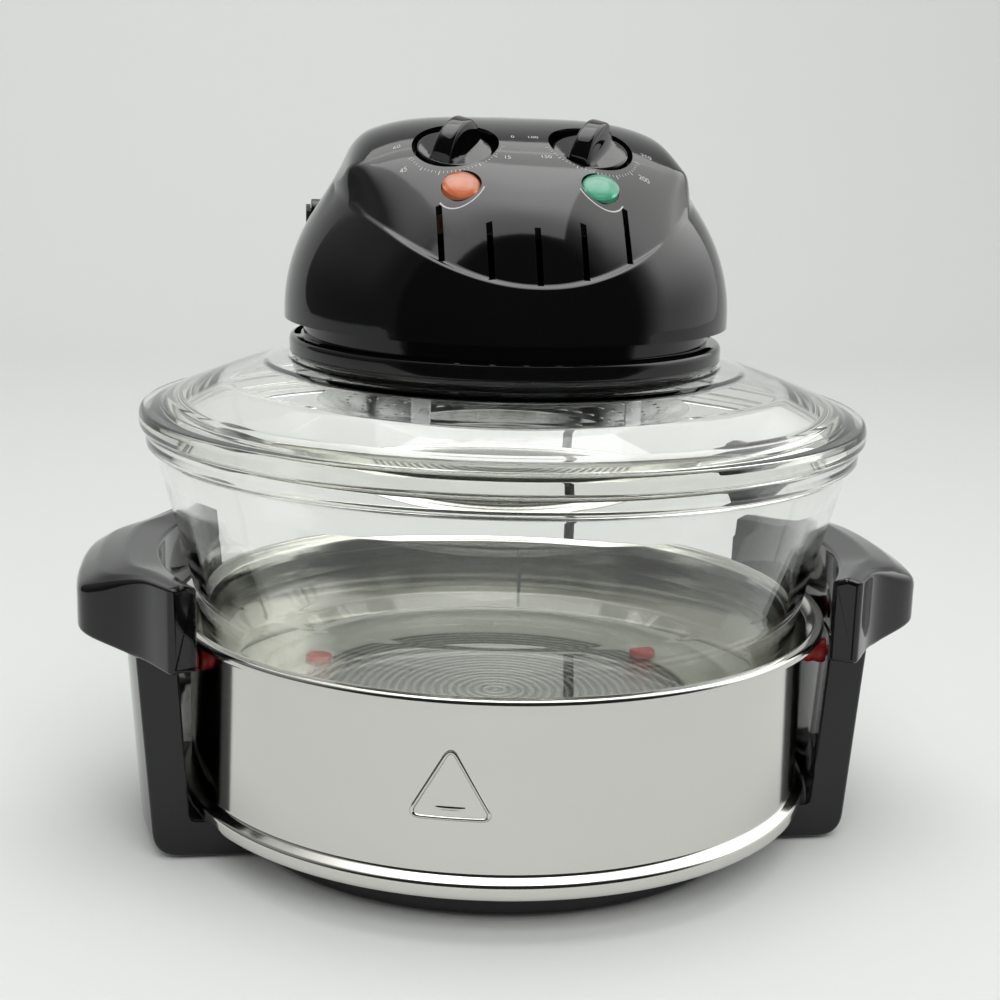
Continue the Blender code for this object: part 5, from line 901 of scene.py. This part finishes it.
glassValues = {
    "bowl": (
        (0, 0.0690, 0), (0.1050, 0.0690, 0.0), (0.1170, 0.0713, 0.010), (0.1290, 0.0790, 0.012),
        (0.1366, 0.0920, 0.012), (0.1385, 0.1060, 0.010), (0.1430, 0.1290, 0.030), (0.1550, 0.1745, 0.030),
        (0.1585, 0.1890, 0.008), (0.1590, 0.1965, 0.0015), (0.1670, 0.1965, 0.0018), (0.1670, 0.1888, 0.0018),
        (0.1632, 0.1865, 0.0030), (0.1600, 0.1745, 0.012), (0.1480, 0.1290, 0.030), (0.1433, 0.1050, 0.012),
        (0.1412, 0.0896, 0.014), (0.1330, 0.0762, 0.014), (0.1200, 0.0668, 0.014), (0.1050, 0.0640, 0.0),
        (0, 0.0640, 0),
    ),
    "lid": (
        (0.0843, 0.2282, 0.0008), (0.1010, 0.2282, 0.006), (0.1111, 0.2267, 0.020), (0.1318, 0.2196, 0.030),
        (0.1560, 0.2104, 0.006), (0.1600, 0.2072, 0.003), (0.1640, 0.2060, 0.002), (0.1690, 0.2058, 0.0022),
        (0.1700, 0.2030, 0.0022), (0.1700, 0.1980, 0.0020), (0.1688, 0.1968, 0.0010),
        (0.1575, 0.1968, 0.0008), (0.1560, 0.1933, 0.0012), (0.1510, 0.1933, 0.0014),
        (0.1500, 0.2045, 0.0050), (0.1318, 0.2146, 0.030), (0.1111, 0.2217, 0.020), (0.1010, 0.2232, 0.006),
        (0.0843, 0.2232, 0.0008),
    ),
}
for name, body, node, closed in (("bowl", "bowl", "glass_bowl", False), ("lid", "head", "glass_lid", True)):
    line = roundedLine(glassValues[name], closed, 8)
    belongs(turned(name + "GlassPiece", line, finish["bowlGlass"], 256, 60, closed), body, "glass", node)
print("glass ready")


# head: top cover with its console

coverValues = {
    "domeRadius": 0.1033, "domeRise": 0.0900, "domeFoot": 0.2500, "edge": 0.2462, "wall": 0.0026,
    "half": 0.0772, "draft": 0.24, "top": 0.3380, "topPlace": 0.0020, "sag": 0.0140, "back": 0.0660,
    "creasePlace": -0.0905, "creaseHeight": 0.2925, "creaseLift": 0.0280, "creaseSweep": 0.0605,
    "smileHeight": 0.2705, "smileLift": 0.0320, "smileSink": 0.0013, "slotWidth": 0.0026, "slotPitch": 0.0200,
    "shareMost": 1.15, "topClear": 0.0040, "slotFront": 0.0040, "slotStart": 0.0006, "slotBack": 0.0050,
    "slotTop": 0.0060, "draftFrom": 0.3130, "rearReach": 0.1, "rearStep": 0.0016, "waist": 0.016,
    "waistRun": 0.05, "leastRise": 0.006, "domeScale": 0.095, "columnSide": 0.002, "columnBack": 0.022,
    "columns": 380, "crowding": 0.38, "rows": (60, 122, 22), "rowBounds": (36, -0.5), "innerRows": 30,
    "rayStart": 0.2620, "rayNear": 0.030, "rayFar": 0.150, "raySteps": 56, "ceiling": 0.350,
}
# how wide the corner between two forms is rounded, and from which to which x the width changes
blendValues = {
    "rear": 0.004, "sides": 0.009, "back": 0.016, "face": 0.0125, "faceLess": 0.0095,
    "faceSpan": (0.030, 0.072), "smile": 0.0016, "join": 0.0016, "joinMore": 0.0074,
    "joinSpan": (0.068, 0.080),
}
knobValues = {
    "x": 0.0300, "y": -0.0398, "tilt": 25.0, "pocket": 0.0190, "depth": 0.0095, "above": 0.0120,
    "shaft": 0.0033, "shaftLow": 0.0200, "shaftHigh": 0.0080, "cup": 0.0215, "cupDepth": 0.0121,
}
lensValues = {
    "x": 0.0300, "y": -0.0652, "tilt": 38.5, "hole": 0.0085, "holeDepth": 0.0090, "above": 0.0070,
    "radius": 0.0082, "rise": 0.0024, "barrel": 0.0060, "bore": 0.0042, "boreTop": 0.0024,
}


def smoothMax(a, b, k):
    # the greater of two distances, with the corner between them rounded over a width of k
    h = np.clip(0.5 + 0.5 * (a - b) / k, 0, 1)
    return b + (a - b) * h + k * h * (1 - h)


def consoleLines(x):
    # the console's top, crease and smile lines at each x, as (top z, crease y, crease z, smile y, smile z):
    # with share = (x / half)^2 the crease and the smile move by their lifts and sweep, the top by sag share^2
    v = coverValues
    share = np.minimum((x / v["half"]) ** 2, v["shareMost"])
    top = v["top"] - v["sag"] * share * share
    creaseY = v["creasePlace"] + v["creaseSweep"] * share
    creaseZ = np.minimum(v["creaseHeight"] + v["creaseLift"] * share, top - v["topClear"])
    smileZ = v["smileHeight"] + v["smileLift"] * share
    high = (smileZ - v["domeFoot"]) / v["domeRise"]
    reach = v["domeRadius"] * np.sqrt(1 - high * high)
    smileY = -np.sqrt(np.maximum(reach * reach - x * x, 0)) + v["smileSink"]
    return top, creaseY, creaseZ, smileY, smileZ


def coverField(x, y, z):
    # signed distance, roughly: below zero inside the dome or the console
    # dome: (r / radius)^2 + ((z - foot) / rise)^2 = 1; console: a hood z = top - drop s^2 from its top
    # line to the crease, a leaning face from crease to smile, drafted sides and a rounded back
    v, blend = coverValues, blendValues
    radius, rise, foot = v["domeRadius"], v["domeRise"], v["domeFoot"]
    top, creaseY, creaseZ, smileY, smileZ = consoleLines(x)
    dome = np.sqrt((x * x + y * y) / radius ** 2 + (np.maximum(z - foot, 0) / rise) ** 2) - 1
    dome = dome * v["domeScale"]
    run = v["topPlace"] - creaseY
    s = np.maximum(v["topPlace"] - y, 0) / run
    behind = np.clip(y, 0, v["rearReach"])
    rear = foot + rise * np.sqrt(np.maximum(1 - (behind / radius) ** 2, 0.01))
    rearDrop = smoothMax(v["top"] - rear - v["rearStep"], 0 * y, blend["rear"])
    drop = top - creaseZ
    hood = (z - (top - drop * s * s - rearDrop)) / np.sqrt(1 + (2 * drop * s / run) ** 2)
    lean = (creaseY - smileY) / np.maximum(creaseZ - smileZ, v["leastRise"])
    face = (smileY + lean * np.maximum(z - smileZ, 0) - y) / np.sqrt(1 + lean * lean)
    half = v["half"] + v["draft"] * (v["draftFrom"] - z) - v["waist"] * (behind / v["waistRun"]) ** 2
    body = smoothMax(smoothMax(hood, np.abs(x) - half, blend["sides"]), y - v["back"], blend["back"])
    body = smoothMax(body, face, blend["face"] - blend["faceLess"] * easeStep(np.abs(x), *blend["faceSpan"]))
    # the dome stands back inside the console's outline, above the smile
    column = np.maximum(smileZ - z, np.abs(x) - v["half"] + v["columnSide"])
    cutDome = smoothMax(dome, -np.maximum(column, y - v["columnBack"]), blend["smile"])
    join = blend["join"] + blend["joinMore"] * easeStep(np.abs(x), *blend["joinSpan"])
    return -smoothMax(-cutDome, -body, join)


def halved(outside, low, high, times):
    # closes in on the place between low and high where outside turns true
    for _ in range(times):
        middle = (low + high) / 2
        beyond = outside(middle)
        high = np.where(beyond, middle, high)
        low = np.where(beyond, low, middle)
    return low


def alongRays(field, upward, turns):
    # each ray runs from one point inside the dome along (cos up cos turn, cos up sin turn, sin up)
    # to the first place where the field turns positive
    v = coverValues
    start = np.array([0, 0, v["rayStart"]])
    way = around(np.cos(upward)[:, None], turns, np.sin(upward)[:, None])
    outside = lambda reach: field(*np.moveaxis(start + way * reach[..., None], -1, 0)) > 0
    low = np.full(way.shape[:-1], v["rayNear"])
    found = np.zeros(low.shape, bool)
    pace = (v["rayFar"] - v["rayNear"]) / v["raySteps"]
    for _ in range(v["raySteps"]):
        found |= outside(low + pace)
        low = np.where(found, low, low + pace)
    return start + way * halved(outside, low, low + pace, 16)[..., None]


def panelHeight(x, y):
    # height of the cover's outside above (x, y)
    low, high = (np.full(np.shape(x), coverValues[key]) for key in ("rayStart", "ceiling"))
    return halved(lambda z: coverField(x, y, z) > 0, low, high, 24)


def controlFrame(values, side):
    # the frame of a knob or a lens: its origin on the panel, tilted about x
    x, y = side * values["x"], values["y"]
    z = float(panelHeight(np.array(x), np.array(y)))
    return Matrix.Translation((x, y, z)) @ Matrix.Rotation(math.radians(values["tilt"]), 4, "X")


def cupField(x, y, z):
    # the pockets' cups: two short round blocks on the knobs' axes
    nearest = np.full(np.shape(x), 1.0)
    for side in (-1, 1):
        rows = np.array(controlFrame(knobValues, side).inverted())[:3]
        u, v, w = (row[0] * x + row[1] * y + row[2] * z + row[3] for row in rows)
        block = np.maximum(np.sqrt(u * u + v * v) - knobValues["cup"], -knobValues["cupDepth"] - w)
        nearest = np.minimum(nearest, block)
    return nearest


def rod(name, matrix, radius, low, high, sides=64):
    # a plain cylinder along z from low to high, carried to its place
    line = [(0, low), (radius, low), (radius, high), (0, high)]
    return place(turned(name, line, None, sides, closed=False), matrix)


def makeCover():
    # the outside lies where the field is zero, the inside one wall deeper and round the pockets' cups
    v = coverValues
    # columns lie closer together at the front, where the console's edges are
    t = np.linspace(0, tau, v["columns"], endpoint=False)
    turns = t - v["crowding"] * np.sin(t) - math.pi / 2
    # rows lie closer together where the console's lines run
    drop, inner = v["edge"] - v["rayStart"], v["domeRadius"] - v["wall"]
    bounds = [math.pi / 2, *(math.radians(b) for b in v["rowBounds"]), math.atan2(drop, v["domeRadius"])]
    runs = [np.linspace(a, b, n, endpoint=False) for a, b, n in zip(bounds, bounds[1:], v["rows"])]
    outside = alongRays(coverField, np.concatenate([*runs, bounds[-1:]]), turns)
    outside[-1] = around(v["domeRadius"], turns, v["edge"])
    hollow = lambda x, y, z: np.maximum(coverField(x, y, z) + v["wall"], -cupField(x, y, z))
    inside = alongRays(hollow, np.linspace(math.atan2(drop, inner), math.pi / 2, v["innerRows"]), turns)
    inside[0] = around(inner, turns, v["edge"])
    mesh = gridMesh("topCover", np.concatenate([outside, inside]))
    cover = finishMesh("topCover", mesh, finish["blackGloss"], 32)
    cutters = []
    k, e = knobValues, lensValues
    for side in (-1, 1):
        knob, lens = controlFrame(k, side), controlFrame(e, side)
        cutters.append(rod("pocket", knob, k["pocket"], -k["depth"], k["above"], 96))
        cutters.append(rod("shaftHole", knob, k["shaft"], -k["shaftLow"], -k["shaftHigh"], 32))
        cutters.append(rod("lensHole", lens, e["hole"], -e["holeDepth"], e["above"]))
    for x in (np.arange(5) - 2) * v["slotPitch"]:
        creaseY, creaseZ, smileY, smileZ = consoleLines(x)[1:]
        low = (x - v["slotWidth"] / 2, smileY - v["slotFront"], smileZ + v["slotStart"])
        high = (x + v["slotWidth"] / 2, creaseY + v["slotBack"], creaseZ + v["slotTop"])
        cutters.append(boxPiece("airSlot", low, high))
    cut(cover, joined("coverCutters", cutters))
    belongs(shaded(cover, 32), "head", "black_gloss", "top_cover")


makeCover()
print("top cover ready")


# head: knobs, lenses and printed scales

knobShape = {
    "radius": 0.0170, "disc": 0.0060, "sink": 0.0025, "rise": 0.0102, "gripHalf": 0.0155, "gripWidth": 0.0100,
    "flare": 0.0028, "turn": 60.0, "topRounding": 0.0016, "lowRounding": 0.0006, "gripFoot": 0.0015,
    "gripFlush": 0.0003, "widthShares": (0.84, 0.12), "crownPower": 0.8, "humpPower": 0.45, "sidePower": 0.30,
}
scaleValues = {
    "ring": 0.0201, "short": 0.0010, "long": 0.0019, "half": 0.00013, "from": 196, "to": 344, "count": 31,
    "numberRing": 0.0258, "size": 0.0034, "lift": 0.00007,
    "numbers": {
        -1: ((168, "60"), (205, "45"), (325, "15"), (8, "0")),
        1: ((172, "100"), (212, "150"), (328, "200"), (6, "250")),
    },
    "arcFrom": 205, "arcTo": 335, "arcRings": (0.01010, 0.01065),
}


def makeKnob(side, node):
    # a round disc with a finger grip across it; the grip's top is nearly an ellipse along u, its section
    # a flat topped hump, v = (width + flare (1 - q)^4) cos^0.3, z = low + (high - low) q with q = sin^0.45
    v = knobShape
    top = -v["sink"]
    bottom = top - v["disc"]
    disc = turned("knob_" + node, roundedLine([
        (0, top, 0), (v["radius"], top, v["topRounding"]), (v["radius"], bottom, v["lowRounding"]),
        (0, bottom, 0),
    ], False, 5), finish["blackGloss"], 96, closed=False)
    t = np.radians(np.linspace(-90, 90, 49))[:, None]
    a = np.linspace(0, math.pi, 41)
    low, flush = top - v["gripFoot"], top - v["gripFlush"]
    high = flush + (v["rise"] - flush) * np.cos(t) ** v["crownPower"]
    q = np.sin(a) ** v["humpPower"]
    width = v["gripWidth"] / 2 * (v["widthShares"][0] + v["widthShares"][1] * np.cos(t))
    across = (width + v["flare"] * (1 - q) ** 4) * np.sign(np.cos(a)) * np.abs(np.cos(a)) ** v["sidePower"]
    points = stacked(v["gripHalf"] * np.sin(t), across, low + (high - low) * q)
    grip = closedLoft("knobGrip", points, finish["blackGloss"])
    cut(disc, place(grip, Matrix.Rotation(math.radians(v["turn"]), 4, "Z")), "UNION")
    shaded(bevelled(place(disc, controlFrame(knobValues, side)), 0.0004, 2, 30), 60)
    belongs(disc, node.replace("_knob", "_dial"), "black_gloss", node)


def makeLens(side, node, material):
    # a low dome, z = rise (1 - s^2)^0.6, on a short barrel bored from below
    v = lensValues
    share = np.linspace(0, 1, 15)
    dome = np.stack([v["radius"] * share, v["rise"] * (1 - share ** 2) ** 0.6], axis=1)
    under = [
        (v["radius"], -v["barrel"]), (v["bore"], -v["barrel"]), (v["bore"], -v["boreTop"]),
        (0, -v["boreTop"]),
    ]
    lens = turned("lens_" + node, np.concatenate([dome, under]), material, 96, closed=False)
    belongs(place(lens, controlFrame(lensValues, side)), "head", node.split("_")[0], node)


def onPanel(values, side, u, v):
    # carries flat points of a control's own frame straight down to the panel, a hair above it
    frameOf = np.array(controlFrame(values, side))
    x, y = (frameOf[k, 3] + frameOf[k, 0] * u + frameOf[k, 1] * v for k in (0, 1))
    return stacked(x, y, panelHeight(x, y) + scaleValues["lift"])


def printed(name, mesh):
    belongs(addPiece(name, mesh, finish["printGrey"]), "head", "black_gloss")


def printedFaces(name, points, faces):
    # print as flat faces, from points[i] and each face's list of i
    mesh = bpy.data.meshes.new(name)
    mesh.from_pydata(points.tolist(), [], faces)
    printed(name, mesh)


def makeTicks(side):
    # flat bars on a ring, every fifth one longer and wider
    v = scaleValues
    a = np.radians(np.linspace(v["from"], v["to"], v["count"]))
    long = np.arange(v["count"]) % 5 == 0
    inner = v["ring"] + 0 * a
    outer = inner + np.where(long, v["long"], v["short"])
    half = np.where(long, 1.3, 1.0) * v["half"]
    across = np.stack([-half, half, half, -half], axis=1)
    along = np.stack([inner, inner, outer, outer], axis=1)
    c, s = np.cos(a)[:, None], np.sin(a)[:, None]
    points = onPanel(knobValues, side, along * c - across * s, along * s + across * c).reshape(-1, 3)
    printedFaces("scaleTicks", points, (np.arange(v["count"])[:, None] * 4 + np.array([0, 3, 2, 1])).tolist())


def makeNumbers(side):
    # flat text, each number moved out to (ring cos turn, ring sin turn) and laid on the panel
    v = scaleValues
    points, faces = np.zeros((0, 3)), []
    for turn, word in v["numbers"][side]:
        text = bpy.data.curves.new("number", "FONT")
        text.body, text.size, text.resolution_u = word, v["size"], 3
        text.align_x = text.align_y = "CENTER"
        thing = addPiece("number", text)
        bpy.context.view_layer.update()
        mesh = bpy.data.meshes.new_from_object(thing.evaluated_get(bpy.context.evaluated_depsgraph_get()))
        flat = np.zeros(len(mesh.vertices) * 3)
        mesh.vertices.foreach_get("co", flat)
        flat = flat.reshape(-1, 3) + around(v["numberRing"], math.radians(turn), 0)
        faces.extend([[len(points) + k for k in face.vertices] for face in mesh.polygons])
        points = np.concatenate([points, onPanel(knobValues, side, flat[:, 0], flat[:, 1])])
        bpy.data.objects.remove(thing)
    printedFaces("scaleNumbers", points, faces)


def makeLensArc(side):
    # a thin printed arc under each lens
    v = scaleValues
    a = np.radians(np.linspace(v["arcFrom"], v["arcTo"], 49))[:, None]
    r = np.array(v["arcRings"])
    printed("lensArc", gridMesh("lensArc", onPanel(lensValues, side, r * np.cos(a), r * np.sin(a)), False))


makeKnob(-1, "timer_knob")
makeKnob(1, "thermostat_knob")
makeLens(-1, "amber_lens", finish["amberPlastic"])
makeLens(1, "green_lens", finish["greenPlastic"])
for side in (-1, 1):
    makeTicks(side)
    makeNumbers(side)
    makeLensArc(side)
print("controls ready")


# head: flange, gasket, reflector, heater and guard

flangeValues = {
    "neck": 0.0945, "neckTop": 0.2520, "rim": 0.1010, "top": 0.2385, "low": 0.2285, "spigot": 0.0840,
    "spigotLow": 0.2209, "inner": 0.0815, "webUnder": 0.2440, "web": 0.2470, "neckInner": 0.0915,
    "hole": 0.0060, "slotWidth": 0.0032, "slotDepth": 0.0060, "slotEnd": 0.005, "slotShift": 0.0006,
    "overrun": 0.0020,
    "slots": ((-90, 66), (158.5, 24.8), (21.5, 24.8)),
}
reflectorValues = {
    "sheet": 0.0008,
    "path": ((0.0042, 0.2290, 0), (0.0812, 0.2290, 0.003), (0.0812, 0.2206, 0.0008), (0.0920, 0.2206, 0)),
}
gasketLine = (
    (0.0845, 0.2228, 0.0004), (0.0845, 0.2210, 0.0004), (0.0913, 0.2210, 0.0008), (0.0913, 0.2228, 0.0008),
)
heaterValues = {
    "ring": 0.0650, "height": 0.2178, "start": 104.0, "sweep": 332.0, "tube": 0.0062, "wall": 0.0009,
    "coil": 0.0040, "wire": 0.00034, "curls": 250, "perCurl": 10, "sides": 5, "inset": 0.015,
    "rows": 121,
}
guardValues = {
    "dish": 0.0480, "low": 0.1910, "rimInner": 0.0785, "rim": 0.0880, "top": 0.2055, "sheet": 0.0008,
    "louvre": 0.0028, "depth": 0.0011, "outerBow": 1.6, "innerBow": 0.35, "tip": 0.0001, "overrun": 0.0020,
    "rings": (
        (0.0730, 50), (0.0660, 45), (0.0590, 40), (0.0520, 35), (0.0400, 27), (0.0300, 20), (0.0200, 13),
    ),
}


def makeFlange():
    # a turned ring; each slot is an arc trough, half width w sqrt(1 - s^2) towards its ends
    v = flangeValues
    line = roundedLine([
        (v["neck"], v["neckTop"], 0.0008), (v["neck"], v["top"], 0.0004), (v["rim"], v["top"], 0.0030),
        (v["rim"], v["low"], 0.0034), (v["spigot"], v["low"], 0.0004), (v["spigot"], v["spigotLow"], 0.0008),
        (v["inner"], v["spigotLow"], 0.0008), (v["inner"], v["webUnder"], 0.0010),
        (v["hole"], v["webUnder"], 0), (v["hole"], v["web"], 0), (v["neckInner"], v["web"], 0.0008),
        (v["neckInner"], v["neckTop"], 0.0008),
    ], True, 5)
    flange = turned("headFlange", line, finish["blackGloss"], 256)
    cutters = []
    middle = (v["neck"] + v["rim"]) / 2 - v["slotShift"]
    a = np.linspace(-1, 1, 73)[:, None]
    for turn, half in v["slots"]:
        toEnd = np.clip(1 + math.radians(half) * middle * (np.abs(a) - 1) / v["slotEnd"], 0, 1)
        reach = v["slotWidth"] / 2 * np.sqrt(np.clip(1 - toEnd ** 2, 0.01, 1))
        radius = middle + reach * np.array([-1, 1, 1, -1])
        height = v["top"] + np.array([-v["slotDepth"], -v["slotDepth"], v["overrun"], v["overrun"]])
        points = around(radius, math.radians(turn) + a * math.radians(half), height)
        cutters.append(closedLoft("slotCutter", points, None))
    cut(flange, joined("slotCutters", cutters))
    weighted(flange, 35)
    belongs(flange, "head", "black_gloss", "head_flange")


def makeQuartz():
    # outer skin from start to end, inner skin back again: one closed surface
    v = heaterValues
    turns = np.radians(v["start"] + v["sweep"] * np.linspace(0, 1, v["rows"]))
    turns = np.concatenate([turns, turns[::-1]])[:, None]
    size = np.repeat([v["tube"], v["tube"] - v["wall"]], v["rows"])[:, None]
    a = np.linspace(0, tau, 24, endpoint=False)
    points = around(v["ring"] + size * np.cos(a), turns, v["height"] + size * np.sin(a))
    tube = finishMesh("quartzTube", gridMesh("quartzTube", points, True, True), finish["quartzGlass"])
    belongs(tube, "head", "quartz", "quartz_tube")


def makeHeaterCoil():
    # helix on a ring: turn = start + sweep s, curl = 2 pi n s, with a round wire about it
    v = heaterValues
    s = np.linspace(v["inset"], 1 - v["inset"], v["curls"] * v["perCurl"] + 1)
    turn, curl = np.radians(v["start"] + v["sweep"] * s), (tau * v["curls"] * s)[:, None]
    outward, up = around(1, turn, 0), np.array([0, 0, 1.0])
    spoke = outward * np.cos(curl) + up * np.sin(curl)
    middle = outward * v["ring"] + up * v["height"] + spoke * v["coil"]
    way = np.gradient(middle, axis=0)
    way /= np.linalg.norm(way, axis=1)[:, None]
    beside = np.cross(way, spoke)
    a = np.linspace(0, tau, v["sides"], endpoint=False)[:, None]
    points = middle[:, None] + v["wire"] * (spoke[:, None] * np.cos(a) + beside[:, None] * np.sin(a))
    belongs(closedLoft("heaterWire", points, finish["coilWire"], 60), "head", "dark_metal", "heater_coil")


def makeGuard():
    # a dished sheet; each crescent lies between the arcs r + outer bow (1 - s^2) and r + inner bow (1 - s^2)
    v = guardValues
    path = [
        (0.0004, v["low"] + v["sheet"], 0), (v["dish"], v["low"] + v["sheet"], 0.006),
        (v["rimInner"], v["top"], 0.003), (v["rim"] - 0.0008, v["top"], 0.0006),
        (v["rim"], v["top"] - 0.0006, 0),
    ]
    guard = turned("heaterGuard", sheetLine(path, v["sheet"], 6), finish["guardSteel"], 192)
    share = np.linspace(-1, 1, 7)
    bow = v["depth"] * (1 - share ** 2)
    outwards = np.concatenate([v["outerBow"] * bow + v["tip"], (v["innerBow"] * bow - v["tip"])[::-1]])
    across = v["louvre"] * np.concatenate([share, share[::-1]])
    ends = np.array([[v["low"] - v["overrun"]], [v["top"] + v["overrun"]]])
    crescents = []
    for number, (ring, count) in enumerate(v["rings"]):
        for a in tau * (np.arange(count) + 0.5 * (number % 2)) / count:
            x = (ring + outwards) * math.cos(a) - across * math.sin(a)
            y = (ring + outwards) * math.sin(a) + across * math.cos(a)
            crescents.append(closedLoft("crescent", stacked(x, y, ends), None))
    cut(guard, joined("crescents", crescents))
    weighted(guard, 30)
    belongs(guard, "head", "bright_metal", "heater_guard")


def makeEdgedCopies():
    # small blocks and straps whose CAD shape is right get rounded edges
    corners = [deep + side for deep in ("front_", "rear_") for side in ("left", "right")]
    for start, ends, width, slot in (
        ("bracket_", corners, 0.0004, "bright_metal"),
        ("heater_holder_", ("left", "right"), 0.0008, "ceramic"),
    ):
        for node in (start + end for end in ends):
            piece = bevelled(copyOfNode(node, "edged_" + node, finish[slotFinish[slot]]), width)
            belongs(piece, "head", slot, node)


makeFlange()
line = sheetLine(reflectorValues["path"], reflectorValues["sheet"], 6)
reflector = turned("reflectorDish", line, finish["brightMetal"], 192)
belongs(reflector, "head", "bright_metal", "reflector")
gasket = turned("lidSeal", roundedLine(gasketLine, True, 4), finish["blackRubber"], 192)
belongs(gasket, "head", "rubber", "lid_gasket")
makeQuartz()
makeHeaterCoil()
makeGuard()
makeEdgedCopies()
print("heater and guard ready")


# head: folding handle; stand: weld seam and pressed triangle

handleValues = {
    "hingeY": 0.0500, "hingeZ": 0.2900, "drop": 23.7, "half": 0.0875, "reach": 0.0660, "thick": 0.0040,
    "wide": 0.0130, "rounding": 0.0013, "eye": 0.0070, "eyeInner": 0.0842, "eyeRounding": 0.0008,
    "hole": 0.0028, "overrun": 0.0020,
}
seamValues = {"turn": 77.0, "half": 0.35, "low": 0.0620, "high": 0.1010, "wall": 0.14695, "rise": 0.00012}
triangleValues = {
    "turn": -105.0, "halfWidth": 0.0180, "low": 0.0555, "high": 0.0870, "corner": 0.0030, "rib": 0.0010,
    "rise": 0.0009, "spacing": 0.0012, "sink": 0.00002, "barHalf": 0.0065, "barHeight": 0.0045,
    "barRib": 0.0009, "barRise": 0.0004,
}


def makeHandle():
    # arch: x = (half + across) sin t, y = (reach + across) cos t, tipped down about the hinge line
    v = handleValues
    t = np.radians(np.linspace(-90, 90, 73))[:, None]
    x, z, r = v["thick"] / 2, v["wide"] / 2, v["rounding"]
    across, up = roundedLine([(-x, -z, r), (x, -z, r), (x, z, r), (-x, z, r)], True, 4).T
    points = stacked((v["half"] + across) * np.sin(t), (v["reach"] + across) * np.cos(t), up)
    handle = closedLoft("foldingHandle", points, finish["blackGloss"], 45)
    hinge = Matrix.Translation((0, v["hingeY"], v["hingeZ"]))
    place(handle, hinge @ Matrix.Rotation(math.radians(-v["drop"]), 4, "X"))
    inner, outer, r = v["eyeInner"], v["half"] + v["thick"] / 2, v["eyeRounding"]
    eyeLine = [(0, inner, 0), (v["eye"], inner, r), (v["eye"], outer, r), (0, outer, 0)]
    eyeLine = roundedLine(eyeLine, False, 4)
    for side in (-1, 1):
        lying = hinge @ Matrix.Rotation(math.radians(90 * side), 4, "Y")
        cut(handle, place(turned("handleEye", eyeLine, None, 64, closed=False), lying), "UNION")
        cut(handle, rod("eyeHole", lying, v["hole"], inner - v["overrun"], outer + v["overrun"], 32))
    weighted(handle, 45)
    belongs(handle, "handle", "black_gloss", "carry_handle")


def makeSeam():
    # the wall's weld: a low rib up the inside at the rear, rise cos(t pi / 2) for t from -1 to 1 across
    v = seamValues
    t = np.linspace(-1, 1, 7)
    radius = v["wall"] - v["rise"] * np.cos(t * math.pi / 2)
    height = np.linspace(v["low"], v["high"], 5)[:, None]
    mesh = gridMesh("weldSeam", around(radius, np.radians(v["turn"] + v["half"] * t), height), False)
    belongs(addPiece("weldSeam", mesh, finish["darkMetal"]), "stand", "steel")


def makePressed(name, line, normal, width, rise, wrapAlong):
    # a rib along a line on the wall: its height over the wall is rise cos(s pi / 2), s from -1 to 1 across
    v, wall = triangleValues, shellValues["radius"]
    s = np.linspace(-1, 1, 9)
    flat = line[:, None] + normal[:, None] * (s * width)[:, None]
    radius = wall - v["sink"] + rise * np.cos(s * math.pi / 2)
    points = around(radius, math.radians(v["turn"]) + flat[..., 0] / wall, flat[..., 1])
    mesh = gridMesh(name, points, False, wrapAlong)
    belongs(finishMesh(name, mesh, finish["wallSteel"], 80, 0.0000001), "stand", "steel")


def makeTriangle():
    # a rounded triangle in even short steps, and a short bar inside it that fades out at both ends
    v = triangleValues
    corner = v["corner"]
    corners = roundedLine([
        (-v["halfWidth"], v["low"], corner), (v["halfWidth"], v["low"], corner), (0.0, v["high"], corner),
    ], True, 8)
    along = []
    for a, b in zip(corners, np.roll(corners, -1, axis=0)):
        steps = max(1, int(np.linalg.norm(b - a) / v["spacing"]))
        along.append(a + (b - a) * (np.arange(steps) / steps)[:, None])
    line = np.concatenate(along)
    way = np.roll(line, -1, axis=0) - np.roll(line, 1, axis=0)
    way /= np.linalg.norm(way, axis=1)[:, None]
    makePressed("pressedTriangle", line, np.stack([way[:, 1], -way[:, 0]], axis=1), v["rib"], v["rise"], True)
    share = np.linspace(-1, 1, 9)
    bar = np.stack([v["barHalf"] * share, 0 * share + v["low"] + v["barHeight"]], axis=1)
    fade = np.cos(share * math.pi / 2)[:, None] ** 0.3
    makePressed("pressedBar", bar, np.array([[0, 1.0]]), v["barRib"], v["barRise"] * fade, False)


makeHandle()
makeSeam()
makeTriangle()
print("handle, seam and triangle ready")
